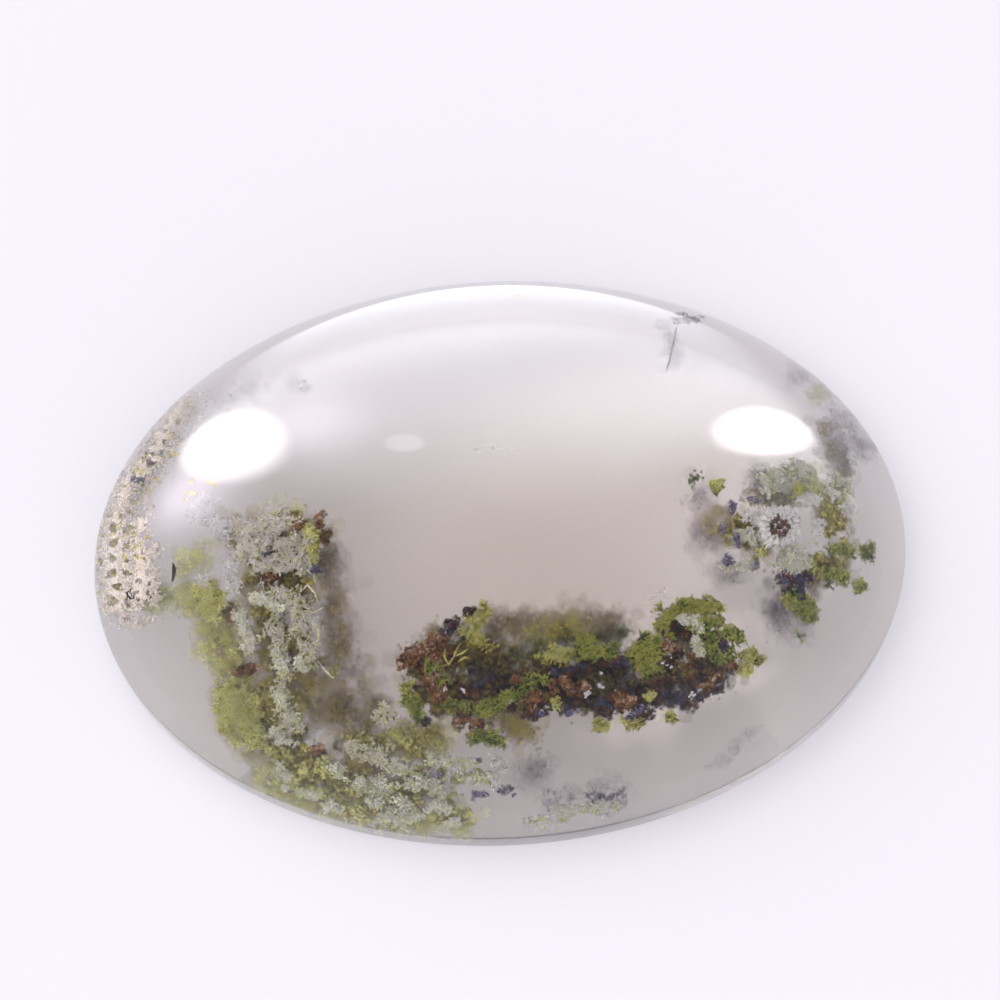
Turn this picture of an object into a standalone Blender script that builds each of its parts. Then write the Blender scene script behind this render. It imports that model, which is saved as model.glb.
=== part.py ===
"""Moss agate cabochon: one oval, domed and polished stone with a flat back.

Metres, +Z up. The stone lies on its flat back, which is in the plane z = 0. The origin is the
centre of the back, +X runs along the stone's length and +Y across it.
"""

import math

import bpy
from mathutils import Matrix

# Driving dimensions of the cut stone
LENGTH = 0.0300
WIDTH = 0.0215
THICKNESS = 0.0068

# Edge of the stone, from the flat back upwards: a small bevel, then the upright girdle
BEVEL_HEIGHT = 0.0004
BEVEL_WIDTH = 0.0005
GIRDLE_TOP = 0.0016

# Share of a half ellipse that the dome uses. At 1 it would meet the girdle with no crease.
DOME_REACH = 0.95

# Fineness of the facets
ROUND_STEPS = 96
DOME_STEPS = 24

# Milky body of the stone where it holds no moss
AGATE_COLOUR = (0.62, 0.58, 0.56, 1.0)
AGATE_ROUGHNESS = 0.08
AGATE_METALLIC = 0.0
AGATE_IOR = 1.54
AGATE_TRANSMISSION = 0.85

# Edges that turn by more than this stay sharp: the crease at the girdle and the bevel
SHARP_ANGLE = math.radians(20)
MERGE_DISTANCE = 0.00001


def clear_scene():
    for obj in list(bpy.data.objects):
        bpy.data.objects.remove(obj)


def new_collection(name):
    collection = bpy.data.collections.new(name)
    bpy.context.scene.collection.children.link(collection)
    return collection


def agate_material():
    material = bpy.data.materials.new("agate")
    material.use_nodes = True
    shader = material.node_tree.nodes["Principled BSDF"]
    shader.inputs["Base Color"].default_value = AGATE_COLOUR
    shader.inputs["Roughness"].default_value = AGATE_ROUGHNESS
    shader.inputs["Metallic"].default_value = AGATE_METALLIC
    shader.inputs["IOR"].default_value = AGATE_IOR
    shader.inputs["Transmission Weight"].default_value = AGATE_TRANSMISSION
    return material


def dome_height(share):
    """Height above the back of the dome, this share of the way from the centre to the edge."""
    edge_level = math.sqrt(1 - DOME_REACH**2)
    rise = (math.sqrt(1 - (DOME_REACH * share) ** 2) - edge_level) / (1 - edge_level)
    return GIRDLE_TOP + (THICKNESS - GIRDLE_TOP) * rise


def half_section():
    """Half of the section along the length, from the top of the dome to the centre of the back."""
    half = LENGTH / 2
    points = []
    for step in range(DOME_STEPS + 1):
        # Equal steps of a quarter turn set the points closer together near the edge
        share = math.sin(math.pi / 2 * step / DOME_STEPS)
        points.append((share * half, 0.0, dome_height(share)))
    points.append((half, 0.0, BEVEL_HEIGHT))
    points.append((half - BEVEL_WIDTH, 0.0, 0.0))
    points.append((0.0, 0.0, 0.0))
    return points


def turned_mesh(name, points, collection):
    """Turns a half section once round the Z axis and gives the closed mesh."""
    profile = bpy.data.meshes.new(name + "_profile")
    profile.from_pydata(points, [(index, index + 1) for index in range(len(points) - 1)], [])
    guide = bpy.data.objects.new(name + "_guide", profile)
    collection.objects.link(guide)
    screw = guide.modifiers.new("Turn", "SCREW")
    screw.axis = "Z"
    screw.angle = 2 * math.pi
    screw.steps = ROUND_STEPS
    screw.render_steps = ROUND_STEPS
    screw.use_merge_vertices = True
    screw.merge_threshold = MERGE_DISTANCE
    turned = guide.evaluated_get(bpy.context.evaluated_depsgraph_get())
    mesh = bpy.data.meshes.new_from_object(turned)
    mesh.name = name
    bpy.data.objects.remove(guide)
    return mesh


def make_cabochon(collection):
    """The whole stone: the round turning, narrowed across its width into an oval."""
    mesh = turned_mesh("cabochon", half_section(), collection)
    mesh.transform(Matrix.Diagonal((1.0, WIDTH / LENGTH, 1.0, 1.0)))
    mesh.shade_smooth()
    mesh.set_sharp_from_angle(angle=SHARP_ANGLE)
    mesh.materials.append(agate_material())
    stone = bpy.data.objects.new("cabochon", mesh)
    collection.objects.link(stone)
    return stone


def main():
    clear_scene()
    make_cabochon(new_collection("moss agate cabochon"))


main()
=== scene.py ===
"""Looks of the moss agate cabochon: a milky, see-through stone with mineral moss grown inside it.

The file is laid out as an add-on and is run as a script. Lengths in the settings are metres, as in
Blender. What grows inside the stone is placed in millimetres on the face as the camera sees it:
across to the right, up, and depth under the polished surface along the bent line of sight.
"""

import math

import bmesh
import bpy
import numpy as np
from bpy.props import FloatProperty, FloatVectorProperty, IntProperty, PointerProperty
from mathutils import Matrix, Vector


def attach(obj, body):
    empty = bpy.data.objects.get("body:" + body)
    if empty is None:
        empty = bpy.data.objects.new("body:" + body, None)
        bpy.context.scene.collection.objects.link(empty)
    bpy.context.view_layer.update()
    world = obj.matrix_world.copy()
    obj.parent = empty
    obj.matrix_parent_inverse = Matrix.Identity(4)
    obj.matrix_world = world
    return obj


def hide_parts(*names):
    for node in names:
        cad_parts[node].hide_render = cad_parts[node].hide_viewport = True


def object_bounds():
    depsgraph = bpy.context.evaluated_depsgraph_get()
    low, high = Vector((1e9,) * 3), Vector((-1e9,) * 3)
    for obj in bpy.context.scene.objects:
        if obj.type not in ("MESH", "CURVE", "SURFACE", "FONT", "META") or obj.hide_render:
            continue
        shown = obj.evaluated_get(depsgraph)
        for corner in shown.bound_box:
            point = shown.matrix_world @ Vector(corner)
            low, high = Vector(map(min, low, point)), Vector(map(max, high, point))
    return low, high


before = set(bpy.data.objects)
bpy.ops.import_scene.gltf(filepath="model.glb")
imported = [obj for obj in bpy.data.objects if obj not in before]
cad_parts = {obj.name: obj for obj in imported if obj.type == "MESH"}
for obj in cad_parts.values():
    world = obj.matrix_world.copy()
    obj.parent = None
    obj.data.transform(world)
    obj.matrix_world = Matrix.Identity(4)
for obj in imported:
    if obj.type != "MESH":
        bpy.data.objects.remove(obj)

bl_info = {
    "name": "Moss Agate Cabochon",
    "version": (1, 0, 0),
    "blender": (4, 5, 0),
    "location": "3D View > Sidebar > Cabochon",
    "description": "Builds a moss agate cabochon with its inclusions and a plain studio",
    "category": "Add Mesh",
}

STONE_LOW, STONE_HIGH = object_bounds()
MM = 0.001

# Room and sizes of the grains, in millimetres, and how far each one strays from its given size and
# tone. Mist and puffs take one grain in MIST_SHARE or PUFF_SHARE of a stroke's amount.
BACK_GAP = 0.2
CLEARANCE = 0.10
BELL_WIDTH = 0.62
SIZE_RANGE = (0.7, 1.3)
TONE_RANGE = 0.22
LUMP_RANGE = (0.6, 1.3)
OWN_TONE = 0.3
STRETCH = (0.75, 1.25)
LARGEST_STRETCH = 1.3
CHIP_BASE = 1.15
CHIP_HEIGHT = 1.63
# Painted light on the tufts: how much lighter a thread gets as it grows towards the painted lit side.
TUFT_PAINTED_LIGHT = 0.45
MIST_RADIUS = 0.045
MIST_SHARE = 3
MIST_REACH = 1.2
PUFF_SMALLEST = 0.06
PUFF_RADIUS = 0.26
PUFF_SHARE = 10
PAIRS_AT_ONCE = 4_000_000

# The daisy ring: its place on the face, its petals and their reaches from there, in millimetres.
DAISY = (10.48, 0.8)
DAISY_PETALS = 17
DAISY_TIPS = (0.72, 0.98)
DAISY_SPIKE = (0.42, 0.60)
DAISY_FORK = 0.13
DAISY_FORK_ROOT = 0.55
DAISY_FORK_REACH = 0.92
DAISY_FOOT = 0.58
DISC_SIDES = 8
DISC_REACH = 0.28

# The stone's own looks. The heart is painted shade on the body's colour, darker over the thick middle
# and set towards the bottom: its place in millimetres, its size as a share of the stone's, and how near to
# its centre it has its full colour.
BODY_MIRROR = (0.1, 0.1, 0.1)
CLOUD_SCALE = 260.0
CLOUD_DARK, CLOUD_LIGHT = (0.95, 0.915, 0.89), (0.975, 0.95, 0.935)
HEART_X, HEART_Y, HEART_SIZE, HEART_FULL = 0.6, -3.4, 0.95, 0.8

# The stage, in metres. A fade is a list of (value, brightness).
LENS, SENSOR = 150.0, 36.0
FLOOR_RADIUS = 3.0
FLOOR_GAP = 0.00002
FLOOR_LAMP = (0.955, 0.93, 1.0)
SKY_LEVELS = [(0.0, 1.0), (0.45, 0.75), (0.85, 0.3)]
CARD_START = 0.0125
CARD_LIFT = 0.0005
CARD_DISTANCE = 0.35
CARD_WIDTH = 1.4
CARD_HEIGHT = 1.2
CARD_UPWARDS = [(0.0, 0.4), (0.05, 0.8), (0.3, 0.95), (0.54, 0.5), (0.78, 0.2), (1.2, 0.0)]
CARD_SIDEWAYS = [(-1.0, 0.0), (-0.6, 0.8), (0.0, 1.0), (0.6, 0.8), (1.0, 0.0)]
CARD_COLOUR = (0.87, 0.90, 1.0)
WHITE_LAMP = (1.0, 0.98, 1.0)
LILAC_LAMP = (0.93, 0.84, 1.0)
CRISP_FADE = [(0.0, 0.0), (0.10, 0.25), (0.3, 1.0)]
SOFT_FADE = [(0.0, 0.0), (0.25, 0.12), (0.5, 0.45), (0.8, 1.0)]


def length_setting(name, description, default):
    return FloatProperty(
        name=name, description=description, default=default, subtype="DISTANCE", unit="LENGTH",
    )


def angle_setting(name, description, degrees):
    return FloatProperty(
        name=name, description=description, default=math.radians(degrees), subtype="ANGLE",
        unit="ROTATION",
    )


def share_setting(name, description, default, low=0.0, high=1.0):
    return FloatProperty(
        name=name, description=description, default=default, subtype="FACTOR", min=low, max=high,
    )


def strength_setting(name, description, default):
    return FloatProperty(name=name, description=description, default=default, min=0.0)


def colour_setting(name, description, default):
    return FloatVectorProperty(
        name=name, description=description, default=default, size=3, subtype="COLOR", min=0.0, max=1.0,
    )


class StoneSettings(bpy.types.PropertyGroup):
    """The cut stone and its polish."""

    length: length_setting("Length", "Longest side of the oval", STONE_HIGH.x - STONE_LOW.x)
    width: length_setting("Width", "Shorter side of the oval", STONE_HIGH.y - STONE_LOW.y)
    thickness: length_setting(
        "Thickness", "From the flat back to the top of the dome", STONE_HIGH.z - STONE_LOW.z,
    )
    girdle_top: length_setting(
        "Girdle Top", "Height of the crease where the dome meets the upright edge", 0.0016,
    )
    bevel_height: length_setting("Bevel Height", "Height of the small bevel round the back", 0.0004)
    bevel_width: length_setting("Bevel Width", "How far the bevel reaches in on the back", 0.0005)
    crease_radius: length_setting(
        "Crease Radius", "Rounding that the polish gives the crease and the bevel", 0.00012,
    )
    dome_reach: share_setting(
        "Dome Reach", "Share of a half ellipse that the dome uses", 0.95, low=0.5, high=0.999,
    )
    steps: IntProperty(name="Steps", description="Sides of the oval", default=192, min=32)
    tint: colour_setting("Tint", "Colour that light keeps on its way through agate", (0.81, 0.785, 0.75))
    density: strength_setting(
        "Absorption", "How strongly the tint builds up with depth, for each metre", 140.0,
    )
    # Painted shade: the heart colour darkens the body's colour over its thick middle and towards the bottom.
    heart: colour_setting(
        "Heart", "Colour that light keeps in the cloudy heart of the stone", (0.765, 0.735, 0.69),
    )
    haze: share_setting("Haze", "Roughness of the body, which blurs what lies deep in the stone", 0.2)
    clearness: share_setting(
        "Clearness", "Share of light that passes the skin. The rest is milky", 0.995, low=0.5,
    )
    polish: share_setting("Polish", "Roughness of the polished skin", 0.025)
    refraction: FloatProperty(
        name="Refraction", description="Index of refraction of agate", default=1.54, min=1.0, max=3.0,
    )


class MossSettings(bpy.types.PropertyGroup):
    """The mineral growths inside the stone."""

    skin: length_setting(
        "Skin", "Clear agate left between every grain and the polished surface", 0.00004,
    )
    seed: IntProperty(name="Seed", description="Another number grows other moss", default=7, min=0)
    cream: colour_setting("Cream", "Crust at the left rim", (0.90, 0.80, 0.68))
    lilac: colour_setting("Lilac", "Greyish threads and haze", (0.60, 0.54, 0.62))
    white: colour_setting("White", "Feathers, daisy ring and sparkles", (0.93, 0.91, 0.93))
    frost: colour_setting("Frost", "Pale green lumps", (0.70, 0.76, 0.38))
    gold: colour_setting("Gold", "Olive gold crystals", (0.42, 0.36, 0.09))
    lime: colour_setting("Lime", "Yellow-green moss", (0.64, 0.61, 0.14))
    leaf: colour_setting("Leaf", "Leaf-green moss", (0.20, 0.27, 0.045))
    olive: colour_setting("Olive", "Deep olive-brown banks", (0.29, 0.23, 0.06))
    rust: colour_setting("Rust", "Rust-brown knobs", (0.24, 0.085, 0.04))
    maroon: colour_setting("Maroon", "Maroon-black knobs", (0.055, 0.028, 0.024))
    indigo: colour_setting("Indigo", "Blue-violet specks", (0.15, 0.13, 0.26))


class StageSettings(bpy.types.PropertyGroup):
    """Camera, floor and light."""

    elevation: angle_setting("Elevation", "Height of the camera above the horizon", 72.5)
    roll: angle_setting("Roll", "Turn of the picture about the line of sight", 3.0)
    distance: length_setting("Distance", "From the camera to the stone", 0.155)
    aim_height: length_setting(
        "Aim Height", "Height of the point that looks like the oval's centre", 0.0005,
    )
    headroom: length_setting(
        "Headroom", "How far the stone sits below the middle of the picture", 0.00233,
    )
    floor_colour: colour_setting("Floor", "Colour of the pale floor", (0.150, 0.146, 0.160))
    floor_glow: strength_setting(
        "Floor Glow", "Light that comes up through the floor, as on a light table", 0.505,
    )
    sky_colour: colour_setting("Sky", "Colour of the soft light from all round", (0.93, 0.91, 1.0))
    sky_strength: strength_setting("Sky Strength", "Strength of the light from all round", 0.75)
    card_glow: strength_setting("Card Glow", "Brightness of the card behind the stone", 4.8)


class CabochonSettings(bpy.types.PropertyGroup):
    """Everything that a user would change."""

    stone: PointerProperty(type=StoneSettings)
    moss: PointerProperty(type=MossSettings)
    stage: PointerProperty(type=StageSettings)


def settings():
    return bpy.context.scene.cabochon


def principled(name, values=()):
    """A new material with its shader node and its node tree."""
    material = bpy.data.materials.new(name)
    material.use_nodes = True
    tree = material.node_tree
    shader = tree.nodes["Principled BSDF"]
    for socket, value in dict(values).items():
        shader.inputs[socket].default_value = value
    return material, shader, tree


def add_node(tree, kind, values=(), links=()):
    """A new node with values and incoming links, both by the name or number of the socket."""
    node = tree.nodes.new(kind)
    for socket, value in dict(values).items():
        node.inputs[socket].default_value = value
    for socket, source in dict(links).items():
        tree.links.new(source, node.inputs[socket])
    return node


def own_place(tree):
    """The piece's own coordinates, in metres."""
    return add_node(tree, "ShaderNodeTexCoord").outputs["Object"]


def object_noise(tree, scale, detail=3.0, roughness=0.5):
    """Noise on the piece's own coordinates. Its scale is in waves to the metre."""
    look = {"Scale": scale, "Detail": detail, "Roughness": roughness}
    noise = add_node(tree, "ShaderNodeTexNoise", look, {"Vector": own_place(tree)})
    return noise.outputs["Fac"]


def round_fade(tree, place):
    """One at the origin of place, and nothing from a distance of one onwards."""
    node = add_node(tree, "ShaderNodeTexGradient", links={"Vector": place})
    node.gradient_type = "SPHERICAL"
    return node.outputs["Fac"]


def ramp(tree, source, stops):
    """A colour that follows source, with stops as (position, colour)."""
    node = add_node(tree, "ShaderNodeValToRGB", links={"Fac": source})
    elements = node.color_ramp.elements
    while len(elements) < len(stops):
        elements.new(0.5)
    for element, (position, colour) in zip(elements, stops):
        element.position = position
        element.color = (*colour, 1.0)
    return node.outputs["Color"]


def mixed_colour(tree, first, second, factor=None, blend="MIX"):
    """Two colours mixed, wholly or by a factor."""
    node = tree.nodes.new("ShaderNodeMix")
    node.data_type = "RGBA"
    node.blend_type = blend
    whole, start, end, result = node.inputs[0], node.inputs[6], node.inputs[7], node.outputs[2]
    whole.default_value = 1.0
    if factor:
        tree.links.new(factor, whole)
    tree.links.new(first, start)
    tree.links.new(second, end)
    return result


def calculated(tree, operation, first, second):
    """A value worked out from two others. The second is a socket or a number."""
    node = add_node(tree, "ShaderNodeMath", links={0: first})
    node.operation = operation
    if isinstance(second, bpy.types.NodeSocket):
        tree.links.new(second, node.inputs[1])
    else:
        node.inputs[1].default_value = second
    return node.outputs["Value"]


def painted_heart_shade(tree, stone):
    """Painted shade on the stone's colour: white at its edge and darker over its thick middle, whose centre
    lies towards the bottom of the picture.
    """
    reach = (stone.length / 2 * HEART_SIZE, stone.width / 2 * HEART_SIZE, 1.0)
    mapping = add_node(
        tree, "ShaderNodeMapping", {"Location": (HEART_X * MM, HEART_Y * MM, 0.0), "Scale": reach},
        {"Vector": own_place(tree)},
    )
    mapping.vector_type = "TEXTURE"
    nearness = round_fade(tree, mapping.outputs["Vector"])
    return ramp(tree, nearness, [(0.0, (1.0, 1.0, 1.0)), (HEART_FULL, stone.heart)])


def agate_material(stone):
    """See-through agate: a polished skin over a hazy body that tints light on its way through."""
    material, shader, tree = principled("agate", {
        "Roughness": stone.haze,
        "IOR": stone.refraction,
        "Transmission Weight": stone.clearness,
        "Specular Tint": (*BODY_MIRROR, 1.0),
        "Coat Weight": 1.0,
        "Coat Roughness": stone.polish,
        "Coat IOR": stone.refraction,
    })
    clouds = object_noise(tree, CLOUD_SCALE, detail=4.0, roughness=0.6)
    milk = ramp(tree, clouds, [(0.3, CLOUD_DARK), (0.7, CLOUD_LIGHT)])
    # Painted shade: the milky colour is multiplied by a darker heart over the thick middle, set towards the
    # bottom.
    colour = mixed_colour(tree, milk, painted_heart_shade(tree, stone), blend="MULTIPLY")
    tree.links.new(colour, shader.inputs["Base Color"])
    tint = {"Color": (*stone.tint, 1.0), "Density": stone.density}
    absorption = add_node(tree, "ShaderNodeVolumeAbsorption", tint)
    tree.links.new(absorption.outputs["Volume"], tree.nodes["Material Output"].inputs["Volume"])
    return material


def dome_height(stone, share):
    """Height of the dome's surface, this share of the way from the centre to the edge."""
    edge_level = math.sqrt(1 - stone.dome_reach**2)
    rise = (math.sqrt(1 - (stone.dome_reach * share) ** 2) - edge_level) / (1 - edge_level)
    return stone.girdle_top + (stone.thickness - stone.girdle_top) * rise


def rounded(corner, before, after, radius, steps=4):
    """Points of a small curve that takes the place of a corner between two others."""
    corner = Vector(corner)
    start = corner + (Vector(before) - corner).normalized() * radius
    end = corner + (Vector(after) - corner).normalized() * radius
    points = []
    for step in range(steps + 1):
        share = step / steps
        points.append(start * (1 - share) ** 2 + corner * 2 * share * (1 - share) + end * share**2)
    return points


def stone_section(stone):
    """Half of the section along the length, as (outward, up), from the dome's top to the back."""
    half = stone.length / 2
    rings = stone.steps // 4
    dome = []
    for ring in range(rings):
        share = math.sin(math.pi / 2 * ring / rings)
        dome.append((share * half, dome_height(stone, share)))
    crease, waist = (half, stone.girdle_top), (half, stone.bevel_height)
    foot, centre = (half - stone.bevel_width, 0.0), (0.0, 0.0)
    dome = [point for point in dome if point[0] < half - stone.crease_radius]
    section = [Vector(point) for point in dome]
    section += rounded(crease, dome[-1], waist, stone.crease_radius)
    section += rounded(waist, crease, foot, stone.crease_radius)
    section += rounded(foot, waist, centre, stone.crease_radius)
    return section + [Vector(centre)]


def build_stone(stone):
    """Spins the half section once round and narrows it into the oval."""
    mesh = bpy.data.meshes.new("agate_body")
    work = bmesh.new()
    corners = [work.verts.new((out, 0.0, up)) for out, up in stone_section(stone)]
    edges = [work.edges.new(pair) for pair in zip(corners, corners[1:])]
    bmesh.ops.spin(
        work, geom=corners + edges, cent=(0, 0, 0), axis=(0, 0, 1), angle=2 * math.pi,
        steps=stone.steps, use_merge=True, use_duplicate=False,
    )
    bmesh.ops.remove_doubles(work, verts=work.verts, dist=1e-7)
    bmesh.ops.scale(work, vec=(1.0, stone.width / stone.length, 1.0), verts=work.verts)
    bmesh.ops.recalc_face_normals(work, faces=work.faces)
    work.to_mesh(mesh)
    work.free()
    mesh.shade_smooth()
    return mesh


def add_piece(mesh, material):
    """Puts a finished mesh in the scene as a piece of the stone."""
    piece = bpy.data.objects.new(mesh.name, mesh)
    bpy.context.scene.collection.objects.link(piece)
    mesh.materials.append(material)
    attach(piece, "root")
    return piece


class CABOCHON_OT_stone(bpy.types.Operator):
    """Build the polished see-through body of the stone"""

    bl_idname = "cabochon.stone"
    bl_label = "Stone"

    def execute(self, context):
        stone = settings().stone
        body = add_piece(build_stone(stone), agate_material(stone))
        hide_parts("cabochon")
        return {"FINISHED"}


def unit(vectors):
    return vectors / np.linalg.norm(vectors, axis=-1, keepdims=True)


class Bed:
    """The room that a growth has in the stone and the camera's view into it, in millimetres."""

    def __init__(self, stone, stage, rng):
        self.rng = rng
        edge_level = math.sqrt(1 - stone.dome_reach**2)
        rise = (stone.thickness - stone.girdle_top) / (1 - edge_level)
        reach = stone.dome_reach
        self.half = np.array([stone.length, stone.width]) / 2 / MM
        self.radii = np.array([stone.length / 2 / reach, stone.width / 2 / reach, rise]) / MM
        self.centre = np.array([0.0, 0.0, stone.girdle_top - rise * edge_level]) / MM
        self.bevel = np.array([stone.bevel_width, stone.bevel_height]) / MM
        self.refraction = stone.refraction
        tilt = math.pi / 2 - stage.elevation
        self.right = np.array([1.0, 0.0, 0.0])
        self.up = np.array([0.0, math.cos(tilt), math.sin(tilt)])
        self.aim = np.array([0.0, 0.0, stage.aim_height]) / MM
        look = np.array([0.0, math.sin(tilt), -math.cos(tilt)])
        self.eye = self.aim + (self.up * stage.headroom - look * stage.distance) / MM

    def seen(self, places):
        """Points that the camera sees at (across, up) of the face, each at its depth of agate."""
        across, up, depth = places.T[:, :, None]
        sight = unit(self.aim + across * self.right + up * self.up - self.eye)
        start, step = (self.eye - self.centre) / self.radii, sight / self.radii
        square = (step**2).sum(1, keepdims=True)
        middle = (step * start).sum(1, keepdims=True)
        rest = (start**2).sum() - 1
        reach = (-middle - np.sqrt(np.maximum(middle**2 - square * rest, 0))) / square
        surface = self.eye + sight * reach
        normal = unit((surface - self.centre) / self.radii**2)
        cosine = -(sight * normal).sum(1, keepdims=True)
        slowed = 1 / self.refraction
        inward = np.sqrt(1 - slowed**2 * (1 - cosine**2))
        bent = slowed * sight + normal * (slowed * cosine - inward)
        deepest = (surface[:, 2:] - BACK_GAP) / -bent[:, 2:]
        return surface + bent * np.minimum(depth + CLEARANCE / inward, deepest)

    def painted_lit_side(self):
        """The side that is painted lighter on every lump and tuft, as if it caught the light: up in the
        picture and towards the camera.
        """
        return unit(self.up * 0.7 + self.eye / np.linalg.norm(self.eye))

    def room(self, points):
        """How far points lie inside the dome, the girdle, the back and its bevel."""
        offset = points - self.centre
        dome = 1 - ((offset / self.radii) ** 2).sum(1)
        dome /= 2 * np.linalg.norm(offset / self.radii**2, axis=1)
        side = 1 - ((points[:, :2] / self.half) ** 2).sum(1)
        side /= 2 * np.linalg.norm(points[:, :2] / self.half**2, axis=1) + 1e-9
        height = points[:, 2]
        width, rise = self.bevel
        bevel = (side / width + height / rise - 1) / math.hypot(1 / width, 1 / rise)
        return np.minimum.reduce([dome, side, height, bevel])


def spots(bed, strokes):
    """Random places in strokes of (across, up, across, up, half width, nearest, deepest, amount)."""
    rows = []
    for across0, up0, across1, up1, spread, near, deep, amount in strokes:
        along, angle = bed.rng.random(amount), bed.rng.random(amount) * 2 * math.pi
        out = spread * BELL_WIDTH * np.abs(bed.rng.normal(size=amount))
        rows.append(np.column_stack([
            across0 + (across1 - across0) * along + out * np.cos(angle),
            up0 + (up1 - up0) * along + out * np.sin(angle),
            near + (deep - near) * bed.rng.random(amount),
        ]))
    return np.vstack(rows)


def with_sizes(bed, points, radius, tone):
    """Grains as rows of x, y, z, radius and tone, with both varied about the given values."""
    count = len(points)
    radii = np.broadcast_to(radius, count) * bed.rng.uniform(*SIZE_RANGE, count)
    tones = np.broadcast_to(tone, count) + bed.rng.uniform(-TONE_RANGE, TONE_RANGE, count)
    return np.column_stack([points, radii, tones])


def loose(bed, strokes, radius, tone=0.5):
    """Single grains."""
    return with_sizes(bed, bed.seen(spots(bed, strokes)), radius, tone)


def scattered(rng, count):
    """Random offsets that crowd in the middle and never stray far."""
    first = rng.uniform(-MIST_REACH, MIST_REACH, (count, 2))
    return first + rng.uniform(-MIST_REACH, MIST_REACH, (count, 2))


def mist(bed, strokes, radius, tone=0.5):
    """Fine grains in soft uneven clouds, made of puffs that each have their own tone."""
    rng, rows, tones = bed.rng, [], []
    for across0, up0, across1, up1, spread, near, deep, amount in strokes:
        start, run = np.array([across0, up0]), np.array([across1 - across0, up1 - up0])
        count = 6 + int(4 * np.linalg.norm(run) / spread)
        puffs = start + run * rng.random((count, 1)) + 0.5 * spread * scattered(rng, count)
        size, own = spread * rng.uniform(0.25, 0.65, count), rng.uniform(-0.2, 0.2, count)
        chosen = rng.integers(count, size=amount)
        places = puffs[chosen] + scattered(rng, amount) * size[chosen, None]
        rows.append(np.column_stack([places, near + (deep - near) * rng.random(amount)]))
        tones.append(own[chosen])
    return with_sizes(bed, bed.seen(np.vstack(rows)), radius, tone + np.concatenate(tones))


def knobs(bed, strokes, lump, grains, tone=0.5, contrast=0.3, share=0.36):
    """Cauliflower lumps of grains, each a share of its lump, with painted light: lighter on top than below.
    """
    rng, cores = bed.rng, bed.seen(spots(bed, strokes))
    size = lump * rng.uniform(*LUMP_RANGE, len(cores))
    own = tone + rng.uniform(-OWN_TONE, OWN_TONE, len(cores))
    cores, size, own = (np.repeat(part, grains, axis=0) for part in (cores, size, own))
    out = unit(rng.normal(size=cores.shape))
    # Painted light: grains on the lit side of each lump get a lighter tone, as strong as the contrast says.
    facing = out @ bed.painted_lit_side()
    points = cores + out * (size * rng.uniform(0.55, 1.0, len(size)))[:, None]
    return with_sizes(bed, points, size * share, own + contrast * facing)


def tufts(bed, strokes, threads, steps, step, radius, tone=0.5, lean=0.0, wobble=0.45, contrast=0.6):
    """Branching moss: threads that spread from a core, fork half-way and grow lighter to the tip, with
    painted light that makes them lighter still towards the painted lit side.
    """
    rng, cores = bed.rng, bed.seen(spots(bed, strokes))
    own = np.repeat(tone + rng.uniform(-OWN_TONE, OWN_TONE, len(cores)), threads)
    tips = np.repeat(cores, threads, axis=0)
    heading = unit(unit(rng.normal(size=tips.shape)) + lean * bed.up)
    # Painted light: the way towards the lit side, for the length of a whole thread.
    roots, lamp = tips, bed.painted_lit_side() / (step * steps)
    rows = []
    for count in range(steps):
        grown = count / (steps - 1)
        # Tone of each grain, plus painted light from how far it has grown towards the lit side.
        tone_and_painted_light = own + contrast * (grown - 0.5) + TUFT_PAINTED_LIGHT * (tips - roots) @ lamp
        rows.append(with_sizes(bed, tips, radius * (1.1 - 0.4 * grown), tone_and_painted_light))
        if count == steps // 2:
            tips, heading, own, roots = (np.repeat(part, 2, axis=0) for part in (tips, heading, own, roots))
            heading = heading + rng.normal(scale=0.6, size=heading.shape)
        heading = unit(heading + rng.normal(scale=wobble, size=heading.shape))
        tips = tips + heading * step
    return np.vstack(rows)


def lace(bed, strokes, cell, wall, radius, tone=0.5):
    """Grains along the walls between irregular cells, so the agate shows through the holes."""
    places = spots(bed, strokes)
    low, high = places[:, :2].min(0) - cell, places[:, :2].max(0) + cell
    counts = np.ceil((high - low) / cell).astype(int)
    grid = np.stack(np.meshgrid(*(np.arange(count) for count in counts)), axis=-1).reshape(-1, 2)
    centres = low + (grid + bed.rng.uniform(-0.4, 0.4, grid.shape)) * cell
    kept = []
    for part in np.array_split(places, max(1, len(places) * len(centres) // PAIRS_AT_ONCE)):
        far = np.linalg.norm(part[:, None, :2] - centres[None], axis=2)
        nearest = np.partition(far, 1, axis=1)[:, :2]
        kept.append(part[nearest[:, 1] - nearest[:, 0] < wall])
    return with_sizes(bed, bed.seen(np.vstack(kept)), radius, tone)


def strand(bed, path, near, deep, radius, amount, tone=0.5):
    """One thread through points of the face, thickest in the middle."""
    knots = np.array(path, dtype=float)
    share = np.linspace(0, len(knots) - 1, amount)
    steps = np.arange(len(knots))
    places = np.column_stack([
        np.interp(share, steps, knots[:, 0]), np.interp(share, steps, knots[:, 1]),
        np.linspace(near, deep, amount),
    ])
    girth = radius * (0.45 + 0.55 * np.sin(np.pi * np.linspace(0, 1, amount)))
    return with_sizes(bed, bed.seen(places), girth, tone)


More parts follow.
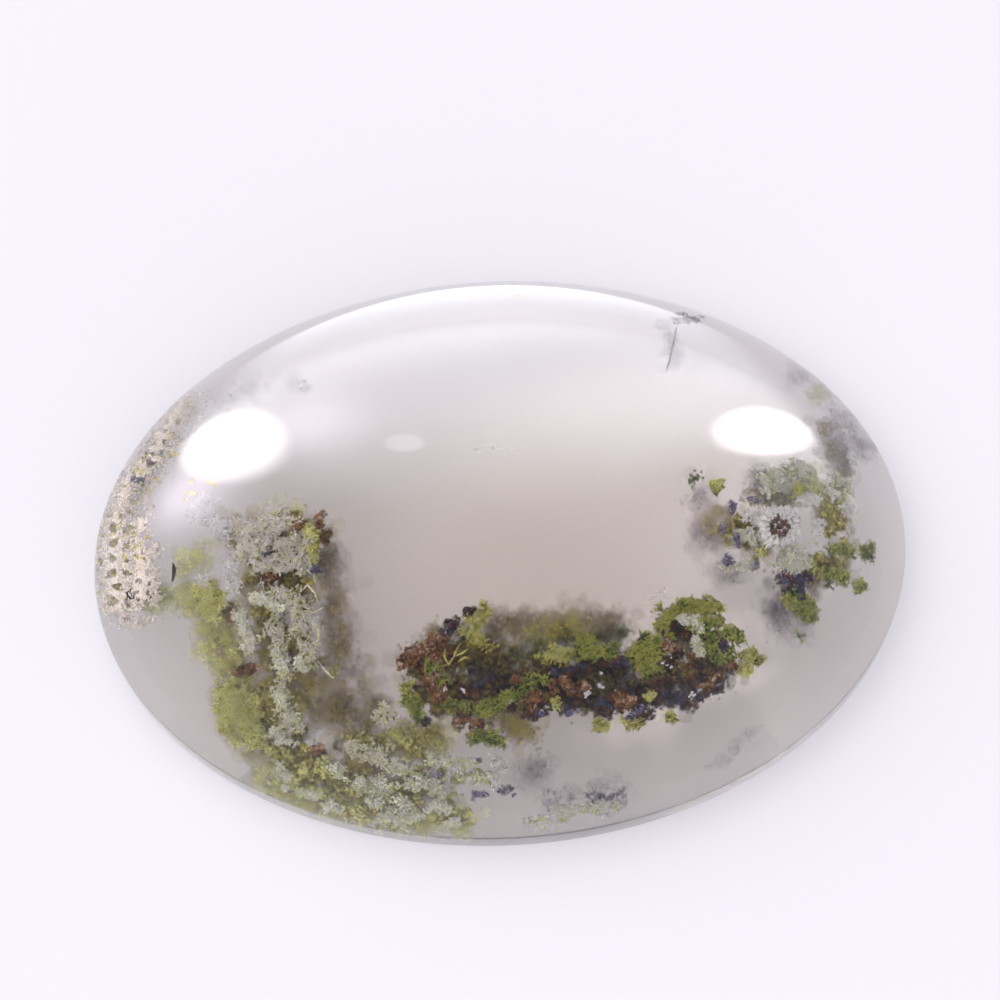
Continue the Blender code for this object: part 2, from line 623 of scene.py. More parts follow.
def grain_shape(kind):
    """Corners and triangles of one grain: a puff of 20 sides, a crystal of eight or a chip of four."""
    work = bmesh.new()
    if kind == "puff":
        bmesh.ops.create_icosphere(work, subdivisions=1, radius=1.0)
    elif kind == "crystal":
        bmesh.ops.create_uvsphere(work, u_segments=4, v_segments=2, radius=1.0)
    else:
        bmesh.ops.create_cone(
            work, cap_ends=True, segments=3, radius1=CHIP_BASE, radius2=0.0, depth=CHIP_HEIGHT,
        )
        bmesh.ops.translate(work, vec=(0, 0, CHIP_HEIGHT / 4), verts=work.verts)
    corners = np.array([corner.co for corner in work.verts])
    faces = np.array([[corner.index for corner in face.verts] for face in work.faces])
    work.free()
    return corners, faces


def random_turns(bed, count):
    """A turn of its own for each grain, as rotation matrices."""
    w, x, y, z = unit(bed.rng.normal(size=(count, 4))).T
    rows = [
        1 - 2 * (y * y + z * z), 2 * (x * y - z * w), 2 * (x * z + y * w),
        2 * (x * y + z * w), 1 - 2 * (x * x + z * z), 2 * (y * z - x * w),
        2 * (x * z - y * w), 2 * (y * z + x * w), 1 - 2 * (x * x + y * y),
    ]
    return np.stack(rows, axis=1).reshape(count, 3, 3)


def grain_mesh(bed, name, grains, kind):
    """Joins every grain that stays under the polish into one mesh that carries their tone."""
    room = (bed.room(grains[:, :3]) - settings().moss.skin / MM) / LARGEST_STRETCH
    if kind == "puff":
        grains[:, 3] = np.minimum(grains[:, 3], np.maximum(room * 0.99, PUFF_SMALLEST))
    grains = grains[room > grains[:, 3]]
    count = len(grains)
    corners, faces = grain_shape(kind)
    shapes = (corners * bed.rng.uniform(*STRETCH, (count, 1, 3))) @ random_turns(bed, count)
    points = (grains[:, None, :3] + shapes * grains[:, None, 3:4]) * MM
    joined = faces + np.arange(count)[:, None, None] * len(corners)
    mesh = bpy.data.meshes.new(name)
    mesh.vertices.add(count * len(corners))
    mesh.vertices.foreach_set("co", points.ravel())
    mesh.loops.add(joined.size)
    mesh.loops.foreach_set("vertex_index", joined.ravel())
    mesh.polygons.add(joined.size // 3)
    mesh.polygons.foreach_set("loop_start", np.arange(0, joined.size, 3))
    mesh.update(calc_edges=True)
    tone = mesh.attributes.new("tone", "FLOAT", "POINT")
    tone.data.foreach_set("value", np.repeat(grains[:, 4], len(corners)))
    if kind == "puff":
        mesh.shade_smooth()
    return mesh


def moss_material(name, colours, others, patch=900.0, patchiness=0.2, rare=0.5, opacity=1.0):
    """Colours from the darkest grain to the lightest. In some patches the others take over."""
    material, shader, tree = principled(
        name, {"Roughness": 0.75, "Specular IOR Level": 0.15, "Alpha": opacity},
    )
    tone = tree.nodes.new("ShaderNodeAttribute")
    tone.attribute_name = "tone"
    span = {"From Min": 0.3, "From Max": 0.7, "To Min": -patchiness, "To Max": patchiness}
    drift = {"Value": object_noise(tree, patch, detail=3.0, roughness=0.6)}
    level = add_node(tree, "ShaderNodeMapRange", span, drift)
    mixed = calculated(tree, "ADD", tone.outputs["Fac"], level.outputs["Result"])

    def spread(family):
        stops = [(index / (len(family) - 1), tuple(colour)) for index, colour in enumerate(family)]
        return ramp(tree, mixed, stops)

    colour = spread(colours)
    if others:
        patches = object_noise(tree, patch * 1.3, detail=2.0, roughness=0.5)
        edge = ramp(tree, patches, [(rare, (0.0,) * 3), (rare + 0.06, (1.0,) * 3)])
        colour = mixed_colour(tree, colour, spread(others), edge)
    tree.links.new(colour, shader.inputs["Base Color"])
    return material


def shade(colour, factor):
    return tuple(min(1.0, part * factor) for part in colour)


def shades(colour, *factors):
    return [shade(colour, factor) for factor in factors]


def between(first, second, share=0.5):
    return tuple(a * (1 - share) + b * share for a, b in zip(first, second))


def growth(number):
    """The colours of the moss, and a bed with random numbers of its own for one growth."""
    values = settings()
    rng = np.random.default_rng([values.moss.seed, number])
    return values.moss, Bed(values.stone, values.stage, rng)


def thinned(strokes, divisor):
    """The same strokes with fewer grains."""
    return [(*stroke[:-1], stroke[-1] // divisor) for stroke in strokes]


def plant(bed, name, parts, slot, colours, others=None, kind="chip", **pattern):
    """Makes one piece of moss from its parts, in its colours."""
    mesh = grain_mesh(bed, name, np.vstack(parts), kind)
    add_piece(mesh, moss_material(name, colours, others, **pattern))


def plant_cloud(bed, name, groups, colours, slot, opacity):
    """A soft cloud: fine grains among see-through puffs that merge into one another."""
    grains = [mist(bed, thinned(strokes, MIST_SHARE), MIST_RADIUS, tone) for strokes, tone in groups]
    plant(bed, name + "_mist", grains, slot, colours)
    puffs = [mist(bed, thinned(strokes, PUFF_SHARE), PUFF_RADIUS, tone) for strokes, tone in groups]
    plant(bed, name + "_veil", puffs, slot, colours, kind="puff", opacity=opacity)


# A stroke of moss is (across, up, across, up, half width, nearest, deepest, amount), in millimetres
# and grains, and it runs from the first spot to the second. PLUME_ARCS and LIME_SPRIG hold paths,
# each a list of spots (across, up).

CREAM_LACE = [
    (-14.25, -1.0, -14.4, 0.4, 0.6, 0.06, 0.25, 2600), (-14.4, 0.4, -14.2, 2.6, 0.55, 0.06, 0.25, 3300),
    (-13.4, -0.6, -13.35, 1.3, 0.5, 0.06, 0.22, 3000), (-13.3, 1.9, -13.2, 2.3, 0.25, 0.06, 0.2, 500),
]
GREY_LACE = [
    (-14.1, 2.6, -13.6, 4.0, 0.45, 0.08, 0.35, 1800), (-13.3, 3.9, -12.1, 5.5, 0.5, 0.1, 0.45, 2400),
    (-12.3, 5.4, -11.3, 6.8, 0.5, 0.1, 0.6, 2600),
]
CRUST_FRINGE = [
    (-12.9, -1.3, -12.75, 1.4, 0.14, 0.06, 0.2, 16), (-14.0, -1.6, -13.2, -1.5, 0.14, 0.06, 0.2, 7),
    (-13.6, 0.2, -13.8, 2.2, 0.3, 0.06, 0.2, 12),
]


class CABOCHON_OT_rim_crust(bpy.types.Operator):
    """Grow the cream and grey lace along the left rim"""

    bl_idname = "cabochon.rim_crust"
    bl_label = "Rim Crust"

    def execute(self, context):
        moss, bed = growth(1)
        parts = [
            lace(bed, CREAM_LACE[:2], 0.56, 0.19, 0.062, 0.9),
            lace(bed, CREAM_LACE[2:], 0.36, 0.16, 0.060, 0.85),
            loose(bed, [(-14.2, -1.2, -14.2, 2.6, 0.8, 0.35, 0.8, 700)], 0.045, 0.6),
            lace(bed, GREY_LACE, 0.42, 0.17, 0.060, 0.68),
            loose(bed, [(-13.9, 2.8, -11.4, 6.6, 0.6, 0.5, 1.2, 1000)], 0.05, 0.3),
            tufts(bed, [(-13.0, 2.6, -13.0, 3.1, 0.12, 0.06, 0.2, 8)], 10, 4, 0.06, 0.04, 0.9),
            tufts(bed, CRUST_FRINGE, 9, 5, 0.06, 0.042, 0.9, contrast=0.7),
        ]
        colours = [
            between(moss.gold, moss.lilac, 0.4), between(moss.lilac, moss.cream, 0.3),
            between(moss.lilac, moss.cream, 0.7), moss.cream, between(moss.cream, moss.white),
        ]
        plant(bed, "rim_crust", parts, "pale_crust", colours)
        return {"FINISHED"}


GOLD_ROWS = [
    (-14.35, 1.65, -14.1, 2.1, 0.1, 0.05, 0.12, 9), (-13.95, 1.7, -13.45, 1.75, 0.08, 0.05, 0.12, 14),
    (-13.05, 1.65, -12.95, 1.6, 0.06, 0.05, 0.12, 4), (-13.8, 1.3, -13.3, 1.3, 0.1, 0.05, 0.12, 9),
    (-13.95, 1.0, -13.9, 0.85, 0.1, 0.05, 0.12, 8), (-13.6, 0.95, -13.2, 0.85, 0.1, 0.05, 0.12, 8),
    (-12.95, 4.75, -13.1, 4.4, 0.1, 0.05, 0.12, 12), (-13.35, 4.25, -13.2, 4.0, 0.12, 0.05, 0.12, 14),
    (-13.8, 3.6, -13.8, 3.4, 0.07, 0.05, 0.12, 5), (-14.0, 2.2, -14.1, 2.8, 0.1, 0.05, 0.12, 6),
    (-12.0, 6.2, -11.65, 6.05, 0.08, 0.05, 0.12, 8), (-12.1, 5.65, -12.0, 5.3, 0.08, 0.05, 0.12, 8),
    (-11.9, 4.7, -11.7, 4.6, 0.06, 0.04, 0.1, 6), (0.95, 10.0, 1.25, 9.9, 0.1, 0.05, 0.12, 10),
]
GOLD_LOOPS = [
    (-11.05, 4.55, -10.75, 4.55, 0.05, 0.04, 0.08, 10), (-11.0, 4.3, -10.5, 4.1, 0.09, 0.04, 0.08, 18),
    (-10.6, 3.95, -10.4, 3.9, 0.05, 0.04, 0.08, 7), (-11.4, 3.6, -11.2, 3.7, 0.07, 0.04, 0.08, 7),
    (-10.75, 3.6, -10.5, 3.5, 0.09, 0.04, 0.08, 10), (-11.6, 3.2, -11.1, 3.15, 0.08, 0.04, 0.08, 14),
    (-11.6, 3.0, -11.5, 2.9, 0.05, 0.04, 0.08, 5),
]
GOLD_POCKETS = [
    (-14.2, -0.9, -14.2, 2.6, 0.65, 0.3, 0.7, 750), (-13.7, 3.0, -11.5, 6.4, 0.45, 0.4, 0.8, 450),
]


class CABOCHON_OT_gold_crystals(bpy.types.Operator):
    """Strew the olive gold crystals over the crust"""

    bl_idname = "cabochon.gold_crystals"
    bl_label = "Gold Crystals"

    def execute(self, context):
        moss, bed = growth(2)
        parts = [
            loose(bed, GOLD_ROWS, 0.10, 0.45),
            loose(bed, GOLD_ROWS + GOLD_LOOPS, 0.06, 0.75),
            loose(bed, GOLD_LOOPS, 0.06, 0.65),
            loose(bed, GOLD_POCKETS, 0.075, 0.5),
        ]
        colours = [*shades(moss.gold, 0.35, 1.0, 1.5), moss.cream]
        plant(bed, "gold_crystals", parts, "green_moss", colours, kind="crystal")
        return {"FINISHED"}


PLUME_UPPER = [
    (-9.7, 1.6, -7.7, 1.9, 0.36, 0.15, 0.6, 70), (-9.4, 1.0, -7.0, 1.2, 0.5, 0.15, 0.8, 90),
    (-9.0, 0.3, -6.9, 0.5, 0.45, 0.15, 0.8, 80), (-9.6, 0.6, -9.3, 1.6, 0.3, 0.12, 0.5, 26),
]
PLUME_LOWER = [
    (-8.6, -0.5, -7.3, -1.2, 0.35, 0.15, 0.6, 36), (-8.5, -1.8, -8.1, -3.8, 0.45, 0.2, 0.8, 56),
    (-8.4, -4.2, -8.3, -6.2, 0.4, 0.15, 0.8, 40), (-9.6, -2.6, -9.2, -2.4, 0.25, 0.15, 0.4, 12),
    (-5.9, -6.6, -4.4, -7.2, 0.35, 0.12, 0.5, 40), (-4.9, -5.6, -4.3, -5.1, 0.3, 0.15, 0.5, 20),
]
PLUME_INNER = [(-7.6, -1.3, -7.3, -3.5, 0.40, 0.12, 0.6, 70)]
PLUME_ARCS = [
    [(-7.45, -0.7), (-7.2, -0.45), (-6.95, -0.75), (-6.8, -1.2)], [(-7.3, -1.4), (-7.0, -1.5), (-6.7, -1.35)],
    [(-7.1, -1.8), (-6.85, -2.1), (-6.9, -2.6)],
    [(-6.95, -3.3), (-6.75, -3.6), (-6.45, -3.95), (-6.35, -3.9)],
]


class CABOCHON_OT_plume(bpy.types.Operator):
    """Grow the grey-green and lilac plume on the left"""

    bl_idname = "cabochon.plume"
    bl_label = "Plume"

    def execute(self, context):
        moss, bed = growth(3)
        parts = [
            tufts(bed, PLUME_UPPER, 9, 5, 0.065, 0.042, 0.84, contrast=1.0),
            tufts(bed, PLUME_LOWER, 8, 5, 0.065, 0.042, 0.68, contrast=1.0),
            tufts(bed, PLUME_INNER, 8, 5, 0.065, 0.042, 0.50, contrast=0.9),
        ]
        parts += [strand(bed, path, 0.10, 0.25, 0.045, 40, 0.7) for path in PLUME_ARCS]
        greens = [
            shade(moss.olive, 0.35), shade(moss.olive, 0.9), between(moss.olive, moss.frost, 0.6),
            moss.frost, between(moss.frost, moss.cream), between(moss.cream, moss.white),
        ]
        lilacs = [
            shade(moss.maroon, 1.2), between(moss.olive, moss.lilac, 0.4),
            between(moss.lilac, moss.rust, 0.3), between(moss.lilac, moss.cream, 0.4),
            between(moss.lilac, moss.cream, 0.8), between(moss.cream, moss.white),
        ]
        plant(bed, "plume", parts, "pale_crust", greens, lilacs, patch=1500.0, rare=0.60)
        return {"FINISHED"}


FEATHERS = [
    (-11.2, 2.5, -10.7, 2.5, 0.35, 0.08, 0.25, 34), (-10.6, 2.1, -9.9, 1.4, 0.22, 0.1, 0.35, 16),
    (-10.05, 0.4, -9.9, -0.4, 0.15, 0.1, 0.3, 9), (-11.1, -0.1, -10.9, -0.15, 0.14, 0.08, 0.2, 6),
    (-11.6, 5.7, -11.3, 5.4, 0.14, 0.08, 0.2, 6), (-0.6, -7.3, -0.2, -7.7, 0.12, 0.1, 0.3, 6),
    (-0.75, -8.1, -0.6, -8.2, 0.08, 0.15, 0.3, 3),
]
GREY_TUFTS = [
    (1.4, -9.5, 2.4, -9.3, 0.28, 0.15, 0.5, 22), (3.0, -9.5, 4.2, -9.2, 0.24, 0.15, 0.5, 22),
    (0.5, -9.75, 1.3, -9.8, 0.16, 0.15, 0.4, 16),
]
WHITE_TUFTS = [
    (11.4, 1.8, 11.9, 1.7, 0.22, 0.25, 0.5, 12), (12.35, 1.95, 12.65, 1.85, 0.22, 0.25, 0.5, 9),
    (11.8, 0.8, 12.0, 0.6, 0.15, 0.25, 0.5, 6), (12.9, 1.5, 13.3, 1.0, 0.12, 0.3, 0.5, 6),
    (13.1, 3.1, 13.5, 3.3, 0.12, 0.2, 0.4, 5), (9.4, 1.2, 9.9, 0.9, 0.25, 0.3, 0.6, 10),
]
SPARKLES = [
    (2.9, -5.1, 3.05, -4.95, 0.14, 0.1, 0.25, 20), (3.4, -4.75, 3.6, -4.85, 0.12, 0.12, 0.25, 12),
    (3.4, -4.25, 3.6, -4.3, 0.06, 0.12, 0.2, 4), (6.85, -5.2, 6.95, -5.4, 0.1, 0.1, 0.3, 14),
    (5.8, -4.0, 6.1, -4.15, 0.12, 0.12, 0.3, 8), (6.15, -3.85, 6.2, -3.9, 0.05, 0.1, 0.2, 3),
    (6.15, -4.2, 6.2, -4.2, 0.05, 0.1, 0.2, 3), (-2.6, -4.7, -2.2, -4.6, 0.1, 0.12, 0.3, 9),
    (-1.7, -4.6, -1.6, -4.7, 0.1, 0.12, 0.3, 7), (0.1, -5.15, 0.2, -5.15, 0.06, 0.1, 0.2, 5),
    (7.9, -2.3, 8.0, -2.3, 0.04, 0.1, 0.2, 2), (7.7, -2.9, 7.8, -2.9, 0.05, 0.12, 0.2, 4),
]
# White grains just under the polish, painted in place of the glints in tiny pits of the surface: painted
# highlights.
PAINTED_PIT_GLINTS = [
    (5.5, -1.7, 6.2, -1.3, 0.16, 0.05, 0.08, 44), (6.7, -1.35, 6.85, -1.3, 0.06, 0.05, 0.08, 8),
    (-0.9, 4.3, 1.0, 4.2, 0.25, 0.05, 0.08, 55),
]


def daisy_place(angle, reach):
    """A spot of the face, this far from the middle of the daisy ring."""
    return np.array(DAISY) + reach * np.array([math.cos(angle), math.sin(angle)])


class CABOCHON_OT_white_feathers(bpy.types.Operator):
    """Grow the white feathers, the daisy ring, the sparkles, the pale tufts of the lower edge and the painted
    glints of the surface pits
    """

    bl_idname = "cabochon.white_feathers"
    bl_label = "White Feathers"

    def execute(self, context):
        moss, bed = growth(4)
        ring = []
        for petal in range(DAISY_PETALS):
            angle = 2 * math.pi * petal / DAISY_PETALS
            tip = bed.rng.uniform(*DAISY_TIPS)
            spikes = [[daisy_place(angle, reach) for reach in (*DAISY_SPIKE, tip)]]
            for side in (-DAISY_FORK, DAISY_FORK):
                root = daisy_place(angle, DAISY_FORK_ROOT)
                spikes.append([root, daisy_place(angle + side, DAISY_FORK_REACH * tip)])
            ring += [strand(bed, spike, 0.12, 0.30, 0.085, 16, 0.8) for spike in spikes]
            foot = daisy_place(angle, DAISY_FOOT)
            ring.append(knobs(bed, [(*foot, *foot, 0.12, 0.10, 0.3, 5)], 0.10, 14, 0.75))
        parts = [
            *ring,
            tufts(bed, FEATHERS, 12, 6, 0.065, 0.036, 0.8, wobble=0.2),
            tufts(bed, WHITE_TUFTS, 12, 5, 0.06, 0.05, 0.9),
            tufts(bed, GREY_TUFTS, 7, 5, 0.06, 0.045, 0.6, contrast=0.6),
            loose(bed, SPARKLES, 0.045, 0.9),
            # Painted highlights: white specks for the glints of surface pits.
            loose(bed, PAINTED_PIT_GLINTS, 0.032, 1.0),
        ]
        colours = [shade(moss.lilac, 0.8), between(moss.lilac, moss.white), moss.white, moss.white]
        plant(bed, "white_feathers", parts, "pale_crust", colours)
        return {"FINISHED"}


LIME_PLUME = [
    (-10.3, -4.2, -10.4, -5.4, 0.45, 0.15, 0.9, 46), (-10.1, -5.2, -9.5, -6.2, 0.45, 0.15, 1.0, 40),
    (-9.8, -4.4, -9.5, -5.6, 0.35, 0.4, 1.2, 24), (-10.8, -0.3, -10.9, -1.3, 0.38, 0.12, 0.5, 34),
]
LIME_BALLS = [
    (-7.05, 1.65, -6.95, 1.35, 0.2, 0.12, 0.4, 12), (-7.1, 0.95, -6.9, 0.6, 0.22, 0.12, 0.4, 14),
    (8.1, 2.5, 8.3, 2.4, 0.2, 0.15, 0.4, 12), (5.25, -5.3, 5.4, -5.2, 0.15, 0.15, 0.4, 6),
    (1.75, -5.2, 1.85, -5.5, 0.12, 0.15, 0.4, 6), (9.6, -0.1, 9.8, -0.1, 0.14, 0.25, 0.5, 6),
    (11.2, 2.3, 11.3, 2.15, 0.2, 0.25, 0.5, 9),
]
LIME_RIDGE = [
    (-1.2, -2.1, -0.5, -1.9, 0.3, 0.5, 0.9, 16), (-1.2, -2.5, -0.9, -3.0, 0.25, 0.5, 0.9, 12),
    (1.5, -3.7, 2.3, -3.5, 0.22, 0.25, 0.7, 20), (8.9, -3.9, 9.3, -4.1, 0.22, 0.2, 0.6, 14),
    (8.7, -4.4, 9.0, -4.5, 0.18, 0.2, 0.6, 10), (3.3, -6.2, 3.6, -6.3, 0.14, 0.4, 0.8, 7),
    (4.3, -6.2, 5.0, -6.3, 0.12, 0.3, 0.7, 9), (6.0, -6.2, 6.1, -6.0, 0.12, 0.4, 0.8, 4),
]
LIME_SPRIG = [
    [(-2.6, -3.75), (-2.1, -3.7), (-1.9, -3.4), (-1.75, -3.1), (-1.6, -2.9)],
    [(-1.9, -3.4), (-1.6, -3.3), (-1.35, -3.15)], [(-1.75, -3.6), (-1.5, -3.45), (-1.3, -3.5)],
    [(-2.1, -3.7), (-2.25, -3.4), (-2.2, -3.1)],
]


class CABOCHON_OT_lime_moss(bpy.types.Operator):
    """Grow the yellow-green moss"""

    bl_idname = "cabochon.lime_moss"
    bl_label = "Lime Moss"

    def execute(self, context):
        moss, bed = growth(5)
        parts = [
            tufts(bed, LIME_PLUME, 10, 7, 0.07, 0.046, 0.95, lean=-0.4, contrast=0.7),
            knobs(bed, LIME_BALLS, 0.14, 16, 0.65, contrast=0.4),
            tufts(bed, LIME_BALLS, 4, 4, 0.055, 0.045, 0.8),
            tufts(bed, LIME_RIDGE, 11, 6, 0.06, 0.048, 0.5, lean=0.4),
        ]
        parts += [strand(bed, path, 0.1, 0.25, 0.045, 22, 0.9) for path in LIME_SPRIG]
        colours = [*shades(moss.lime, 0.12, 0.35, 0.7, 1.0), between(moss.lime, moss.frost, 0.6)]
        plant(bed, "lime_moss", parts, "green_moss", colours)
        return {"FINISHED"}


LEAF_RIDGE = [
    (2.8, -3.5, 4.0, -3.6, 0.3, 0.2, 0.7, 34), (2.9, -3.2, 3.2, -3.1, 0.12, 0.2, 0.5, 6),
    (4.9, -3.9, 5.3, -3.1, 0.3, 0.3, 0.9, 26), (5.2, -4.4, 5.7, -3.2, 0.35, 0.15, 0.6, 36),
    (5.8, -2.8, 6.6, -2.1, 0.35, 0.4, 1.2, 36), (6.6, -2.0, 7.9, -2.2, 0.3, 0.3, 1.1, 34),
    (7.0, -2.7, 7.9, -2.7, 0.35, 0.2, 0.8, 26), (7.4, -3.2, 8.2, -4.0, 0.4, 0.3, 0.9, 30),
    (8.3, -3.1, 8.7, -3.3, 0.3, 0.2, 0.7, 16),
]
LEAF_TUFTS = [
    (-3.8, -4.4, -3.3, -5.6, 0.3, 0.15, 0.6, 20), (-2.9, -3.3, -2.2, -4.6, 0.3, 0.12, 0.5, 14),
    (-2.6, -5.2, -0.8, -5.5, 0.25, 0.4, 0.9, 22), (-0.9, -5.4, 0.4, -4.9, 0.18, 0.12, 0.4, 20),
    (0.6, -4.7, 1.4, -4.4, 0.2, 0.2, 0.6, 14), (-1.5, -6.4, -0.3, -6.6, 0.3, 0.3, 0.9, 22),
    (10.9, -1.9, 11.5, -2.7, 0.4, 0.4, 1.2, 30), (11.9, -1.1, 13.0, -1.2, 0.25, 0.4, 1.0, 18),
    (13.6, -0.3, 13.9, -0.1, 0.22, 0.3, 0.7, 10), (13.2, -1.4, 13.5, -1.6, 0.16, 0.3, 0.7, 7),
    (12.4, -0.1, 13.0, -0.2, 0.25, 0.3, 0.9, 12),
]
LEAF_HAZE = [
    (1.0, -3.0, 4.6, -2.9, 0.4, 2.4, 4.2, 840), (0.2, -3.4, 1.6, -3.6, 0.4, 1.4, 2.8, 440),
    (7.3, 2.7, 7.5, 2.8, 0.25, 1.0, 2.0, 48),
]


class CABOCHON_OT_leaf_moss(bpy.types.Operator):
    """Grow the leaf-green tufts along the ridge and on the right"""

    bl_idname = "cabochon.leaf_moss"
    bl_label = "Leaf Moss"

    def execute(self, context):
        moss, bed = growth(6)
        parts = [
            tufts(bed, LEAF_RIDGE, 11, 6, 0.065, 0.048, 0.6, lean=0.6),
            tufts(bed, LEAF_TUFTS, 10, 6, 0.065, 0.045, 0.6),
            loose(bed, LEAF_HAZE, 0.055, 0.3),
        ]
        colours = [*shades(moss.leaf, 0.12, 0.35, 0.75, 1.2), between(moss.leaf, moss.lime, 0.7)]
        plant(bed, "leaf_moss", parts, "green_moss", colours)
        return {"FINISHED"}


BANK_LEFT = [
    (-9.4, 1.3, -7.0, 1.4, 0.7, 0.9, 2.4, 38), (-9.0, 0.0, -7.2, -0.5, 0.6, 0.9, 2.4, 28),
    (-8.8, -1.2, -7.6, -3.6, 0.8, 0.9, 2.6, 50), (-8.9, -4.2, -8.0, -6.2, 0.9, 0.9, 2.8, 50),
]
BANK_SWEEP = [
    (-8.8, -6.6, -6.6, -7.6, 0.8, 0.6, 2.2, 56), (-8.6, -7.8, -5.0, -9.2, 0.45, 0.3, 1.6, 56),
    (-6.6, -8.2, -2.4, -8.2, 0.8, 0.8, 2.6, 62), (-5.0, -9.1, -1.8, -9.4, 0.4, 0.4, 1.6, 37),
    (-6.0, -6.2, -3.0, -6.4, 0.6, 0.9, 2.4, 35),
]
BANK_RIGHT = [
    (11.0, -0.8, 12.8, -0.7, 0.5, 0.8, 2.0, 23), (12.1, 1.3, 12.8, 0.6, 0.45, 0.5, 1.4, 15),
    (8.4, 0.8, 9.6, 0.5, 0.7, 0.9, 2.0, 26), (10.6, -1.6, 11.3, -2.4, 0.45, 0.9, 1.9, 15),
]


class CABOCHON_OT_olive_banks(bpy.types.Operator):
    """Grow the deep olive-brown masses that carry the lighter moss"""

    bl_idname = "cabochon.olive_banks"
    bl_label = "Olive Banks"

    def execute(self, context):
        moss, bed = growth(7)
        parts = [
            knobs(bed, BANK_LEFT, 0.22, 18, 0.55),
            knobs(bed, BANK_SWEEP, 0.22, 18, 0.9),
            knobs(bed, BANK_RIGHT, 0.22, 18, 0.65),
        ]
        colours = [
            *shades(moss.olive, 0.3, 0.8, 1.4), between(moss.olive, moss.lime, 0.7),
            between(moss.lime, moss.frost, 0.6),
        ]
        plant(bed, "olive_banks", parts, "green_moss", colours)
        return {"FINISHED"}


BANK_MIDDLE = [
    (-3.4, -3.8, -2.0, -3.3, 0.45, 0.6, 1.6, 52), (-3.2, -4.9, -0.2, -4.6, 0.7, 0.6, 1.8, 112),
    (-2.0, -3.4, 0.0, -3.8, 0.6, 1.0, 2.4, 67), (-1.2, -5.4, 3.2, -5.0, 0.45, 0.6, 1.6, 82),
    (0.2, -4.2, 4.2, -4.3, 0.5, 0.9, 2.2, 90), (3.0, -5.3, 5.6, -5.0, 0.5, 0.6, 1.6, 60),
    (5.4, -4.6, 8.0, -4.3, 0.65, 0.5, 1.6, 97), (6.2, -2.9, 7.8, -3.2, 0.45, 0.6, 1.6, 37),
]


class CABOCHON_OT_brown_bank(bpy.types.Operator):
    """Grow the dark brown mass of the middle that carries the green and rusty moss"""

    bl_idname = "cabochon.brown_bank"
    bl_label = "Brown Bank"

    def execute(self, context):
        moss, bed = growth(12)
        parts = [knobs(bed, BANK_MIDDLE, 0.20, 20, 0.45, share=0.34)]
        browns = [
            *shades(moss.maroon, 0.6, 1.0), between(moss.maroon, moss.olive), *shades(moss.olive, 0.8, 1.0),
        ]
        rusty = [*shades(moss.maroon, 0.3, 1.0), *shades(moss.rust, 0.6, 1.0)]
        plant(bed, "brown_bank", parts, "rusty_moss", browns, rusty)
        return {"FINISHED"}


FROST_BLOBS = [
    (-9.2, -0.8, -8.9, -0.95, 0.22, 0.12, 0.35, 14), (-8.8, -1.0, -8.1, -1.3, 0.18, 0.15, 0.4, 14),
    (-9.8, -1.4, -9.5, -2.5, 0.28, 0.15, 0.6, 22), (-8.5, -3.0, -8.2, -3.7, 0.2, 0.12, 0.4, 12),
    (-7.7, -3.2, -7.5, -3.5, 0.16, 0.12, 0.4, 8), (-8.5, -4.4, -8.3, -4.9, 0.16, 0.12, 0.4, 9),
    (-8.2, -5.3, -7.8, -5.4, 0.2, 0.12, 0.4, 8), (-8.8, -5.8, -8.2, -6.3, 0.24, 0.15, 0.5, 14),
    (-8.7, -7.2, -8.3, -7.6, 0.25, 0.2, 0.7, 18), (-7.9, -8.1, -7.3, -8.3, 0.18, 0.2, 0.7, 14),
    (-6.7, -7.3, -6.3, -7.5, 0.18, 0.2, 0.6, 12), (-7.0, -8.7, -6.4, -8.9, 0.2, 0.2, 0.7, 16),
    (-5.3, -8.6, -4.9, -8.8, 0.2, 0.2, 0.6, 12), (-4.4, -7.3, -4.0, -7.5, 0.18, 0.15, 0.5, 12),
    (-4.3, -8.6, -3.9, -8.8, 0.2, 0.2, 0.6, 12), (-4.9, -9.3, -3.4, -9.25, 0.26, 0.15, 0.7, 40),
    (-3.0, -8.9, -2.4, -9.0, 0.2, 0.15, 0.6, 14), (-2.6, -9.5, -2.0, -9.6, 0.14, 0.15, 0.5, 10),
    (-3.9, -7.9, -2.6, -8.2, 0.4, 0.2, 0.8, 30), (-1.9, -7.8, -0.8, -8.0, 0.3, 0.2, 0.8, 22),
    (-5.9, -8.0, -4.6, -8.1, 0.4, 0.2, 0.8, 28), (-3.0, -7.2, -1.2, -7.4, 0.2, 0.2, 0.7, 16),
]
FROST_EDGE = [
    (0.6, -9.7, 1.3, -9.75, 0.14, 0.12, 0.35, 10), (1.5, -9.5, 2.3, -9.3, 0.24, 0.12, 0.4, 22),
    (2.7, -9.35, 4.1, -9.3, 0.2, 0.12, 0.4, 20),
]
FROST_DISCS = [
    (10.4, 2.6, 10.4, 2.6, 0.0, 0.8, 0.8, 1), (11.35, 2.75, 11.35, 2.75, 0.0, 0.8, 0.8, 1),
    (10.9, -0.5, 10.9, -0.5, 0.05, 0.65, 0.65, 2), (10.6, 2.4, 11.0, 2.3, 0.1, 0.9, 0.9, 2),
]
